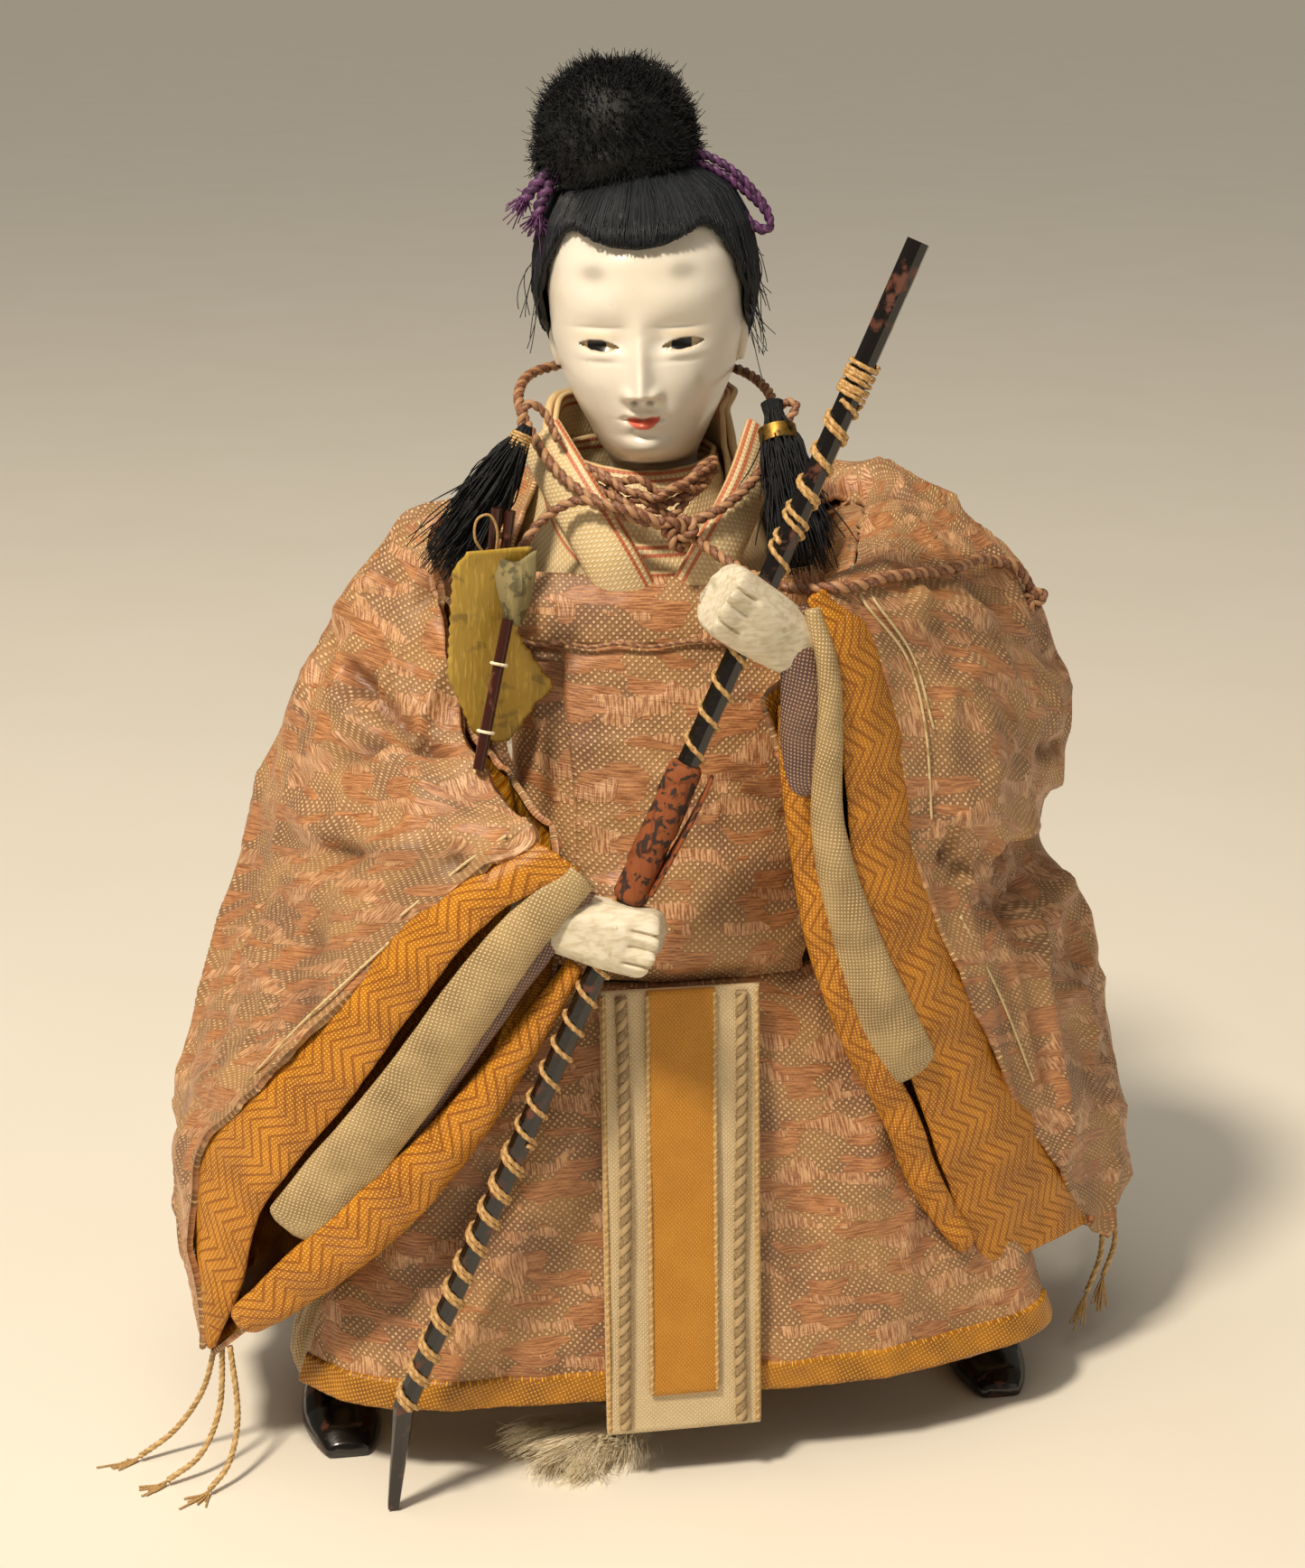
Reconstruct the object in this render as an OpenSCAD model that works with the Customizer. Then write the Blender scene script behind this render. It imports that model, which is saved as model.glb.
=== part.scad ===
// Seated court-guard doll with a bow: a straw body on a wooden seat, layered
// silk robes, carved wooden hands and a chalk-white head on a peg.
// Millimetres, +Z up. The doll faces -Y, and left and right are the doll's own,
// so its right side is at -X. The origin is the centre of the base's underside.

/* [Seat and body] */
// Radius of the round base board
base_r = 21; // [18:1:23]
// Thickness of the base board
base_h = 4; // [3:0.5:5]
// Radius of the seat block
seat_r = 13; // [10:1:14]
// Height of the top of the seat block
seat_top = 60; // [50:1:60]
// Radius of the straw core
core_r = 14; // [12:0.5:14.5]
// Height of the top of the straw core
core_top = 119; // [114:1:120]
// Radius of the neck peg
peg_r = 2.5; // [2:0.1:3]
// Radial clearance of the pegs in their holes
peg_play = 0.05; // [0.03:0.01:0.1]

/* [Clothes] */
// Thickness of a brocade layer with its paper lining
cloth_t = 0.9; // [0.6:0.1:1]
// Gap between two layers of cloth
cloth_gap = 0.3; // [0.2:0.05:0.3]
// Thickness of the silk linings
lining_t = 0.5; // [0.3:0.1:0.6]
// Width of the hanging sash
sash_w = 20.6; // [16:0.2:22]
// Width of the gold strip on the sash
strip_w = 10; // [6:0.5:11]

/* [Bow] */
// Lean of the bow from the vertical, in degrees
bow_lean = 23.4; // [22:0.1:24]
// Radius of the bow stave over its flats
stave_r = 1.45; // [1.2:0.05:1.5]
// Radius of the leather grip
grip_r = 2.25; // [2.1:0.05:2.4]
// Length of the leather grip
grip_l = 19; // [14:0.5:20]
// Distance between two turns of the cane binding
wrap_pitch = 4.1; // [3:0.1:6]
// Thickness of the cane
cane_r = 0.3; // [0.2:0.05:0.35]

/* [Head] */
// Turn of the head about the neck, in degrees
head_turn = -13; // [-15:1:15]
// Sideways place of the neck
neck_x = -0.8; // [-2:0.1:1]

/* [Hidden] */

// Height, half width, front depth, back depth and squareness of the padded body
BODY = [
  [0, 57, 37.5, 34, 3.6],
  [12, 56.5, 37, 34, 3.6],
  [25, 52, 36.3, 33, 3.4],
  [45, 43, 34.8, 30, 3.0],
  [62, 32, 33, 27, 2.7],
  [72, 25, 31.5, 25, 2.5],
  [90, 24, 28.5, 22, 2.4],
  [106, 26, 24.5, 20, 2.4],
  [118, 26, 20.5, 17, 2.3],
  [127, 19, 15, 13.5, 2.2],
  [132, 14, 11.5, 12, 2]
];
// Height, half width, front depth, back depth and squareness of the collar cone
COLLAR = [
  [116, 17, 21.2, 15, 2],
  [121, 15.8, 19.6, 13.5, 2],
  [128, 13.6, 15.8, 12, 2],
  [134, 11.6, 12, 11.4, 2],
  [141, 11, 10.5, 11.6, 2]
];
// Height, half width, front depth, back depth and squareness of the neck and head
HEAD = [
  [125, 5.8, 5, 6.6, 2],
  [131, 5.8, 5, 6.6, 2],
  [134, 6, 6.5, 7, 2],
  [135, 6.3, 12, 7.3, 2],
  [137, 8, 15.4, 8, 2],
  [141, 10.6, 16.6, 9.4, 2.1],
  [145, 12.2, 16.8, 11.4, 2.15],
  [150, 13.2, 16.6, 13.8, 2.2],
  [156, 13.6, 16.2, 15.4, 2.2],
  [162, 12.8, 14.6, 15.4, 2.1],
  [167, 10.2, 11.4, 12.6, 2],
  [170, 5.6, 6.5, 7.4, 2]
];
// Height, back edge x and y, front edge x and y, thickness towards the right and
// towards the body, of the bag of the right sleeve
SLEEVE_RIGHT = [
  [17, -66, -10, -62, -27, 1.6, 1.6],
  [30, -67, 2, -54, -33, 6, 5],
  [45, -66, 6, -42, -38, 8, 7],
  [60, -61, 8, -31, -42, 10, 8],
  [75, -55, 8, -24, -41, 11, 7],
  [87, -50, 7, -23.4, -40, 11, 6.5],
  [93, -49, 6, -24.4, -38.5, 10, 6.5],
  [98, -48.5, 5, -27, -35, 9.5, 6.5],
  [103, -47.5, 5, -31, -26, 9, 6.5],
  [110, -44.5, 6, -32.5, -17, 8, 4],
  [118, -39, 6, -30.5, -10, 6, 2.4],
  [124, -34, 5, -29, -6, 4, 1.4]
];
// The same for the bag of the left sleeve
SLEEVE_LEFT = [
  [20, 68, -8, 50, -28, 1.6, 1.6],
  [35, 73, 4, 44, -36, 7, 4],
  [50, 71, 8, 32, -39.5, 9, 4.5],
  [66, 66, 8, 22.5, -42, 10, 7.5],
  [80, 60, 6, 17, -43.5, 10, 7],
  [95, 57, 5, 13, -45, 10, 6.5],
  [107, 56, 4, 15, -44.5, 10, 6],
  [115, 53, 4, 17.6, -42.6, 9.5, 6],
  [121, 48, 5, 20.5, -38, 8, 5],
  [126, 41, 5, 29, -18, 6, 3],
  [130, 35, 4, 29.5, -7, 4, 1.6]
];
layer = cloth_t + cloth_gap;
seam = 1.2;                            // degrees left open at the back seam
belt_z = 71;                           // height of the waist
neck_base = 125;                       // underside of the neck
shoulder_right = [-26, 1, 113];
shoulder_left = [26, 1, 115];
elbow_right = [-44, -4, 92];
elbow_left = [50, -5, 98];
wrist_right = [-22.5, -40.5, 86.5];
wrist_left = [17, -40.5, 113];
arm_hole_r = 4.6;
wire_r = 0.6;
padding_r = 2.2;
bow_foot = [-38.8, -43, 15.6];         // lower end of the binding on the bow's axis
bow_top = 163;                         // length of the stave above the binding's end
grip_at = 75.3;                        // distance of the grip's lower end along the bow
hand_right_at = [-11.2, -43, 80];
hand_left_at = [7.2, -43, 121.6];
quiver_at = [-22.8, -26.4, 114];
sash_top = [-1.1, -35.9, 69.5];
sash_drop = 61.6;
sash_slope = 4.6;                      // degrees that the hanging sash leans forward
// Free tail of the neck cord, from the knot at the throat over the left sleeve
TAIL = [
  [2.4, -24.4, 126.4], [5, -27.5, 125], [9, -31, 123.4], [13, -34.5, 122.4],
  [17, -38, 123], [21, -39.2, 124.6], [25, -36.5, 126.4], [29, -31, 127.6], [33, -25, 128],
  [37, -19, 127.8], [41, -14.5, 127.2], [45, -11, 125.6], [48.6, -8.6, 122.6],
  [50.6, -7.4, 119.4]
];
// Closed run of the neck cord round the collar, from the knot and back to it
NECK = [
  [1.5, -24, 128], [7, -22.2, 130], [12.4, -17.4, 133.4], [15.6, -10, 137.4],
  [16.6, 0, 141], [12.4, 9.6, 143], [0, 15.4, 143.4], [-12.6, 9.8, 143],
  [-17, 0, 141.4], [-16.4, -9.6, 137.6], [-13, -17.4, 133], [-7, -22.4, 129.6],
  [-1.5, -24, 128]
];

function mix(a, b, t) = a + (b - a) * t;
function power(v, e) = sign(v) * pow(abs(v), e);
function smooth(t) = let(c = min(max(t, 0), 1)) c * c * (3 - 2 * c);
function unit(v) = v / norm(v);
function column(table, z, k) = lookup(z, [for (row = table) [row[0], row[k]]]);
function even(low, high, rows) = function(u, j) mix(low, high, j / rows);
function span(from, to, count) = [for (i = [0 : count]) mix(from, to, i / count)];

// A point of an oval that grows with d: angle 0 is the front, +90 the side at +X
function oval(table, u, z, d) =
  let(
    e = 2 / column(table, z, 4),
    depth = cos(u) > 0 ? column(table, z, 2) : column(table, z, 3)
  )
  [(column(table, z, 1) + d) * power(sin(u), e), -(depth + d) * power(cos(u), e), z];

body_at = function(u, z, d) oval(BODY, u, z, d);
collar_at = function(u, z, d) oval(COLLAR, u, z, d) + [neck_x, 0, 0];
head_at = function(u, z, d)
  let(p = oval(HEAD, u, z, d))
  [
    neck_x + p[0] * cos(head_turn) - p[1] * sin(head_turn),
    p[0] * sin(head_turn) + p[1] * cos(head_turn),
    z
  ];

// A point of a sleeve's bag: angle 0 is the mouth edge, and the angle runs
// anticlockwise from above
function bag(table, side, u, z, d) =
  let(
    back = [column(table, z, 1), column(table, z, 2)],
    front = [column(table, z, 3), column(table, z, 4)],
    along = unit(front - back),
    across = [-along[1], along[0]],
    outer = sin(u) * side > 0,
    half = norm(front - back) / 2,
    thick = max(column(table, z, outer ? 5 : 6) + d, 0.15),
    p = (back + front) / 2 + (half + d) * power(cos(u), 0.85) * along
      + thick * power(sin(u), 0.85) * across
  )
  [p[0], p[1], z];

right_bag_at = function(u, z, d) bag(SLEEVE_RIGHT, -1, u, z, d);
left_bag_at = function(u, z, d) bag(SLEEVE_LEFT, 1, u, z, d);

// Closed sheet of cloth between two offsets of a surface at(u, z, d), where
// level(u, j) is the height of row j
module sheet(at, us, level, rows, d0, d1) {
  n = len(us);
  m = rows + 1;
  size = n * m;
  points = [for (d = [d0, d1]) for (u = us) for (j = [0 : rows]) at(u, level(u, j), d)];
  faces = [
    for (i = [0 : n - 2]) for (j = [0 : rows - 1])
      let(a = i * m + j, b = a + m)
      each [[a, b, b + 1, a + 1], [size + a, size + a + 1, size + b + 1, size + b]],
    for (i = [0 : n - 2])
      let(a = i * m, b = a + m, c = a + rows, e = b + rows)
      each [[size + a, size + b, b, a], [size + c, c, e, size + e]],
    for (j = [0 : rows - 1])
      let(a = j, b = (n - 1) * m + j)
      each [[size + a, a, a + 1, size + a + 1], [size + b, size + b + 1, b + 1, b]]
  ];
  polyhedron(points, [for (f = faces) each [[f[0], f[1], f[2]], [f[0], f[2], f[3]]]]);
}

// Closed solid through a stack of rings, each one anticlockwise from above
module loft(rings) {
  n = len(rings[0]);
  top = len(rings) - 1;
  polyhedron(
    [for (ring = rings) each ring],
    [
      [for (i = [0 : n - 1]) i],
      [for (i = [n - 1 : -1 : 0]) top * n + i],
      for (k = [0 : top - 1]) for (i = [0 : n - 1])
        let(a = k * n + i, b = k * n + (i + 1) % n)
        each [[a, a + n, b + n], [a, b + n, b]]
    ]
  );
}

// Smooth route through hand-set points, with a few steps between two of them
function bend(p, q, r, s, t) =
  0.5 * (2 * q + (r - p) * t + (2 * p - 5 * q + 4 * r - s) * t * t
    + (3 * q - p - 3 * r + s) * t * t * t);
function route(points, steps) =
  let(last = len(points) - 1)
  [
    for (i = [0 : last - 1]) for (k = [0 : steps - 1])
      bend(points[max(i - 1, 0)], points[i], points[i + 1], points[min(i + 2, last)], k / steps),
    points[last]
  ];

// Round cord along a list of points
module cord(points, r, sides = 8) {
  last = len(points) - 1;
  loft([
    for (i = [0 : last])
      let(
        t = unit(points[min(i + 1, last)] - points[max(i - 1, 0)]),
        a = unit(cross([0.13, 0.31, 0.94], t)),
        b = cross(t, a)
      )
      [for (k = [0 : sides - 1]) points[i] + r * (cos(360 * k / sides) * a + sin(360 * k / sides) * b)]
  ]);
}

// Round bar between two points
module bar(from, to, r) {
  v = to - from;
  translate(from)
    rotate([0, acos(v[2] / norm(v)), atan2(v[1], v[0])])
      cylinder(r = r, h = norm(v), $fn = 48);
}

// Places its children on the bow's axis, at a distance above the binding's end
module on_bow(distance) {
  translate(bow_foot)
    rotate([0, bow_lean, 0])
      translate([0, 0, distance])
        children();
}

// Ring of round wire about the Z axis
module ring(radius, wire) {
  rotate_extrude($fn = 48)
    translate([radius, 0])
      circle(r = wire, $fn = 24);
}

module base_board() {
  color("#5a4030")
    cylinder(r = base_r, h = base_h, $fn = 96);
}

module seat_block() {
  color("#c8a878")
    translate([0, 0, base_h])
      cylinder(r = seat_r, h = seat_top - base_h, $fn = 72);
}

peg_bottom = 94;

module straw_core() {
  color("#d8c27c")
    difference() {
      translate([0, 0, seat_top])
        cylinder(r = core_r, h = core_top - seat_top, $fn = 72);
      translate([neck_x, 0, peg_bottom - 2])
        cylinder(r = peg_r + peg_play, h = core_top, $fn = 48);
    }
}

module core_ties() {
  color("#b09868")
    for (z = [seat_top + 6 : 10.5 : core_top - 4])
      translate([0, 0, z])
        ring(core_r + 0.4, 0.35);
}

// Paper wadding between the straw core and the robe
module body_padding() {
  inner = core_r + 1;
  color("#e8e0d0")
    sheet(
      function(u, z, d) d > 0 ? body_at(u, z, -0.3) : [inner * sin(u), -inner * cos(u), z],
      span(-179, 179, 30), even(74, 113, 5), 5, -1, 1
    );
}

// Bent leg inside the robe: thigh out from the seat block, shin down to the shoe
module leg(side) {
  hip = [side * (seat_r + 0.1), -3, 43];
  color("#c8a878")
    union() {
      bar(hip, mix(foot(side), knee(side), 0.95), 2);
      bar(foot(side), knee(side), 2.2);
    }
}

function foot(side) = [side < 0 ? -46.5 : 48, side < 0 ? -17 : -15.5, 8.6];
function knee(side) = [side * 34, -14, 45];

// Lies along the shin, whose foot is at Z = 0
module on_shin(side) {
  v = knee(side) - foot(side);
  translate(foot(side))
    rotate([0, acos(v[2] / norm(v)), atan2(v[1], v[0])])
      children();
}

// Bloused leg of the silk trousers, gathered above the shoe
module hakama(side) {
  color("#d8cdb0")
    on_shin(side)
      rotate_extrude($fn = 72)
        polygon([
          [2.4, 1.4], [4.6, 1.4], [6.2, 3.4], [6.8, 7], [6.6, 13], [5.4, 19], [4, 24], [2.4, 24]
        ]);
}

module shoe(side) {
  color("#1c1a1c")
    translate([foot(side)[0], foot(side)[1], 0])
      hull() {
        translate([0, 5, 0])
          cylinder(r = 5, h = 4, $fn = 32);
        translate([-side * 0.8, -5.6, 0])
          cylinder(r = 5.6, h = 3, $fn = 32);
        translate([0, 3, 4])
          cylinder(r = 4, h = 3.6, $fn = 32);
        translate([-side * 0.6, -6, 3])
          cylinder(r = 4, h = 2.4, $fn = 32);
      }
}

skirt_edge = 62;
hem_low = 11.6;

module skirt_front() {
  color("#b98d78")
    sheet(
      body_at, span(-skirt_edge, skirt_edge, 22),
      even(hem_low, belt_z - 2, 6), 6, 0.3, 0.3 + cloth_t
    );
}

// Gold binding folded over the lower edge of the front skirt
module skirt_hem() {
  color("#c98a3a")
    sheet(
      body_at, span(-skirt_edge, skirt_edge, 22),
      even(hem_low, hem_low + 5, 1), 1, 0.3 + layer, 0.3 + layer + lining_t
    );
}

module robe_back() {
  color("#b98d78")
    sheet(
      body_at, span(118, 242, 20),
      even(5, belt_z - 2, 7), 7, 0.3, 0.3 + cloth_t
    );
}

module waist_belt() {
  color("#4a3a34")
    sheet(
      body_at, span(-180 + seam, 180 - seam, 32),
      even(belt_z - 1.6, belt_z + 1.6, 1), 1, 0.2, 1
    );
}

// Upper part of the robe, open at the front below the collar, with arm holes
module bodice() {
  rows = 9;
  top = function(u) mix(116.4, 125.4, smooth((abs(u) - 52) / 24));
  color("#b98d78")
    difference() {
      sheet(
        body_at, span(-180 + seam, 180 - seam, 40),
        function(u, j) mix(belt_z + 2, top(u), j / rows), rows, 0.3, 0.3 + cloth_t
      );
      bar(shoulder_right - [-6, 0, 0], shoulder_right - [12, 0, 0], arm_hole_r);
      bar(shoulder_left - [6, 0, 0], shoulder_left + [12, 0, 0], arm_hole_r);
    }
}

// Front panel of the robe, bloused over the belt
module bib() {
  color("#b88a76")
    sheet(
      body_at, span(-48, 46, 16),
      even(belt_z, 116.6, 8), 8, 0.3 + layer, 0.3 + layer + cloth_t
    );
}

module yoke() {
  color("#b98d78")
    sheet(
      body_at, span(-50, 50, 16),
      even(113, 120.6, 2), 2, 0.3 + 2 * layer, 0.3 + 2 * layer + cloth_t
    );
}

// Lies in the plane of the hanging sash, whose face is at -Y and top at Z = 0
module on_sash() {
  translate(sash_top)
    rotate([-sash_slope, 0, 0])
      children();
}

module sash_backing() {
  color("#e0d2ae")
    on_sash()
      translate([-sash_w / 2, -0.6, -sash_drop])
        cube([sash_w, 0.6, sash_drop]);
}

module sash_strip() {
  color("#c98a34")
    on_sash()
      translate([-strip_w / 2, -1.1, -sash_drop + 6])
        cube([strip_w, 0.5, sash_drop - 6]);
}

// Pairs of cords couched beside the gold strip
module sash_cords() {
  color("#a89a78")
    on_sash()
      for (side = [-1, 1]) for (k = [0, 1])
        translate([side * (sash_w / 2 - 2.6) + k * 1.2 - 0.6, -1.1, -sash_drop + 1])
          cylinder(r = 0.5, h = sash_drop - 2, $fn = 24);
}

// Standing collar, low at the throat and high at the nape
module collar(throat, d) {
  rows = 4;
  top = function(u) mix(throat, 140.4, smooth((abs(u) - 18) / 105));
  sheet(
    collar_at, span(-180 + seam, 180 - seam, 32),
    function(u, j) mix(117.4, top(u), j / rows), rows, d, d + 0.8
  );
}

module collar_inner() {
  color("#e6d3a6")
    collar(123.6, 0);
}

module collar_outer() {
  color("#dcbd88")
    collar(121.4, 1.05);
}

// Route of a wire arm, from inside the straw core to inside the hand
function arm_route(side) =
  side < 0
    ? route([[-9, 0, 113], shoulder_right, elbow_right, wrist_right,
      mix(wrist_right, hand_right_at, 0.5)], 6)
    : route([[9, 0, 115], shoulder_left, elbow_left, wrist_left,
      mix(wrist_left, hand_left_at, 0.5)], 6);

module arm_wire(side) {
  color("#6a6a6a")
    cord(arm_route(side), wire_r);
}

// Paper wound on the wire, from the armhole to short of the wrist
module arm_padding(side) {
  points = arm_route(side);
  color("#e8e0d0")
    difference() {
      cord([for (i = [7 : 15]) points[i]], padding_r, 16);
      cord(points, wire_r + 0.06);
    }
}

// Bag of a sleeve layer, open at the mouth between two angles and at the armhole
module sleeve_layer(side, from, to, low, high, d, t) {
  table = side < 0 ? SLEEVE_RIGHT : SLEEVE_LEFT;
  zs = [for (row = table) if (row[0] >= low && row[0] <= high) row[0]];
  arm = arm_route(side);
  difference() {
    sheet(
      side < 0 ? right_bag_at : left_bag_at, [for (u = [from : 8 : to]) u],
      function(u, j) zs[j], len(zs) - 1, d - t, d
    );
    cord([for (i = [5 : 12]) arm[i]], padding_r + 0.8, 16);
  }
}

module sleeve(side) {
  color("#b98d78")
    sleeve_layer(side, side < 0 ? 16 : 40, side < 0 ? 320 : 328, 17, 130, 0, cloth_t);
}

module sleeve_lining(side) {
  color("#cf8a2c")
    sleeve_layer(side, side < 0 ? 16 : 32, 328, 30, side < 0 ? 87 : 115, -layer, lining_t);
}

module inner_sleeve(side) {
  color("#e2d6b4")
    sleeve_layer(side, 24, side < 0 ? 336 : 320, 45, side < 0 ? 87 : 115, -layer - 1, 0.6);
}

// Short cuff of the under-robe inside the mouth, near the wrist
module cuff(side) {
  color("#7a5a64")
    sleeve_layer(side, 32, side < 0 ? 328 : 312, side < 0 ? 75 : 95, side < 0 ? 87 : 115, -layer - 2, 0.5);
}

// Carved fist: a block that tapers to the wrist, bored for the bow
module hand(at, wrist, tilt) {
  side = sign(wrist[0] - at[0]);
  difference() {
    hull() {
      translate(at)
        rotate([0, tilt, 0])
          translate([-3.4 - side * 1.4, -3.6, -4.6])
            cube([7.6, 7.6, 9.2]);
      translate(at)
        rotate([0, tilt, 0])
          translate([side * 9.6 - 0.6, -2, -4])
            cube([1.2, 5.6, 8]);
    }
    on_bow(0)
      cylinder(r = stave_r + 2 * cane_r + 0.12, h = 170, $fn = 48);
  }
}

module hand_right() {
  color("#d9d2c0")
    hand(hand_right_at, wrist_right, 27);
}

module hand_left() {
  color("#d9d2c0")
    hand(hand_left_at, wrist_left, 34);
}

// Lacquered stave, eight flats, with a thin flat tip that rests on the floor
module bow_stave() {
  color("#1b1715")
    union() {
      on_bow(0)
        cylinder(r = stave_r, h = bow_top, $fn = 8);
      hull() {
        on_bow(0)
          cylinder(r = stave_r * 0.98, h = 0.4, $fn = 8);
        translate([-41.2, -42.4, 0.4])
          cube([1.4, 1, 0.8]);
      }
    }
}

module bow_grip() {
  color("#7c3a1e")
    on_bow(grip_at)
      difference() {
        cylinder(r = grip_r, h = grip_l, $fn = 48);
        translate([0, 0, -1])
          cylinder(r = stave_r + 0.02, h = grip_l + 2, $fn = 48);
      }
}

// Turns of split cane round the stave, above and below the grip
module bow_wraps() {
  binding_top = 142;
  color("#c9a26a")
    for (s = [0.4 : wrap_pitch : binding_top])
      if (s < grip_at - 1 || s > grip_at + grip_l + 1)
        on_bow(s)
          ring(stave_r + 0.03 + cane_r, cane_r);
}

module bow_top_binding() {
  color("#c9a26a")
    on_bow(143.4)
      difference() {
        cylinder(r = stave_r + 2 * cane_r, h = 4, $fn = 48);
        translate([0, 0, -1])
          cylinder(r = stave_r + 0.02, h = 6, $fn = 48);
      }
}

// Torn gilt card at the right side of the chest
module quiver_board() {
  color("#9a7c2c")
    translate(quiver_at)
      rotate([90 + 11, 0, 0])
        linear_extrude(height = 0.6)
          polygon([
            [-4.4, 11], [-1.4, 12.6], [3.6, 12.4], [1.2, 7], [2.4, 0], [5.6, -5.6],
            [4.2, -9], [0.4, -13], [-3.6, -12], [-5.8, -6], [-5, 3]
          ]);
}

// Three lacquered sticks: two behind the card and one in front of it
module quiver_arrows() {
  color("#4a2a20")
    union() {
      bar([-22, -29.6, 118], [-26.4, -33.2, 99.6], 0.75);
      bar([-22.6, -24.2, 131], [-24.4, -24.7, 117], 0.7);
      bar([-20.9, -24.2, 130.6], [-22.7, -24.7, 117], 0.7);
    }
}

// Thread bindings round the sticks
module arrow_ties() {
  color("#c9a878")
    for (t = [0.3, 0.75])
      translate(mix([-22, -29.6, 118], [-26.4, -33.2, 99.6], t))
        rotate([atan2(-3.6, 18.4), 13.4, 0])
          ring(0.98, 0.2);
}

module neck_cord() {
  color("#a56b52")
    cord(route(NECK, 3), 0.75);
}

module throat_knot() {
  color("#a56b52")
    translate([0, -25.4, 127.6])
      sphere(r = 1.5, $fn = 32);
}

module neck_cord_tail() {
  color("#a56b52")
    cord(route(TAIL, 3), 0.75);
}

// Bundle of black hair that widens from its loop to its cut end
module tassel(top, bottom, wide) {
  v = bottom - top;
  color("#16171b")
    translate(top)
      rotate([0, acos(v[2] / norm(v)), atan2(v[1], v[0])])
        rotate_extrude($fn = 48)
          polygon([
            [0, 0], [0.8, 0], [1.2, 2], [1.9, 3.4], [wide * 0.8, norm(v) * 0.6],
            [wide, norm(v)], [0, norm(v)]
          ]);
}

loop_right = [-17.6, -14.5, 139.6];
loop_left = [14.6, -15.5, 139.8];
tassel_end_right = [-27, -17, 122.4];
tassel_end_left = [16, -26, 123.6];

module tassel_right() {
  tassel(loop_right, tassel_end_right, 3.4);
}

module tassel_left() {
  tassel(loop_left, tassel_end_left, 3.8);
}

// Brass band that holds the left tassel's hair
module tassel_band() {
  v = tassel_end_left - loop_left;
  color("#b08a48")
    translate(loop_left)
      rotate([0, acos(v[2] / norm(v)), atan2(v[1], v[0])])
        translate([0, 0, 1.4])
          difference() {
            cylinder(r = 2.5, h = 2, $fn = 48);
            translate([0, 0, -1])
              cylinder(r = 2.0, h = 4, $fn = 48);
          }
}

spigot_r = 1.5;
spigot_h = 7;

// Peg with a thinner spigot that turns in the neck
module neck_peg() {
  color("#c8a878")
    union() {
      translate([neck_x, 0, peg_bottom])
        cylinder(r = peg_r, h = neck_base - 0.1 - peg_bottom, $fn = 48);
      translate([neck_x, 0, peg_bottom])
        cylinder(r = spigot_r, h = neck_base - peg_bottom + spigot_h, $fn = 48);
    }
}

module head() {
  color("#eee6d6")
    difference() {
      loft([
        for (row = HEAD)
          [for (u = [0 : 6 : 354]) head_at(u, row[0], 0)]
      ]);
      translate([neck_x, 0, neck_base - 1])
        cylinder(r = spigot_r + peg_play, h = spigot_h + 2, $fn = 48);
    }
}

// Glass eye set into the face
module eye(side) {
  color("#15120f")
    translate(head_at(side * 24, 149.6, -1.2))
      sphere(r = 1.2, $fn = 32);
}

// Combed hair over the skull: the hairline is high at the brow, low at the nape
module hair_cap() {
  rows = 10;
  low = function(u) mix(162.6, 146, smooth((abs(u) - 40) / 70));
  color("#15161b")
    sheet(
      head_at, span(-180 + seam, 180 - seam, 58),
      function(u, j) mix(low(u), 169.4, j / rows), rows, 0.5, 1.4
    );
}

module topknot() {
  color("#121317")
    translate([neck_x - 3, 1.5, 0])
      rotate_extrude($fn = 64)
        polygon([
          [0, 171], [5, 171], [9, 172], [10.6, 174.6], [10.8, 178], [9.4, 181.6],
          [6, 183.6], [0, 184.4]
        ]);
}

// Cord tied round the foot of the topknot, with its loop and ends at the sides
module hair_cord() {
  color("#4c2a5c")
    union() {
      translate([neck_x - 2, 1, 171.2])
        cord(route([
          [10, 0, 0.2], [12, -2.4, 0.4], [14.4, -4.6, -1], [17, -5.4, -3.8], [19, -5.4, -7.4],
          [17.8, -5.6, -8.6], [15.8, -5.6, -6.2], [14, -5.4, -4]
        ], 3), 0.7);
      translate([neck_x - 2, 1, 171.2])
        cord(route([[-11, -1, -0.2], [-12.8, -3, -1.2], [-14.4, -4, -3.6], [-15, -4, -6.6]], 3), 0.7);
    }
}

// Thin braided ends that hang from the lower corners of the sleeves
module sleeve_cords_right() {
  color("#c9a46a")
    union() {
      cord(route([[-62.8, -24, 15], [-65, -23.6, 9], [-69, -23.4, 4], [-74.4, -24.6, 0.5]], 3), 0.45);
      cord(route([[-61.6, -26, 15], [-62.6, -27.4, 8], [-65.6, -29.6, 3], [-70.4, -31.4, 0.5]], 3), 0.45);
      cord(route([[-60.4, -27.6, 15], [-60.2, -29.6, 8], [-61.8, -32.2, 3], [-64.6, -34.6, 0.5]], 3), 0.45);
    }
}

module sleeve_cords_left() {
  color("#c9a46a")
    union() {
      cord(route([[68, -10, 18.4], [68.4, -10.6, 14], [66.8, -11.4, 9.4]], 3), 0.45);
      cord(route([[66, -12, 18.4], [65.6, -12.8, 13], [63.4, -13.6, 8]], 3), 0.45);
    }
}

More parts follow.
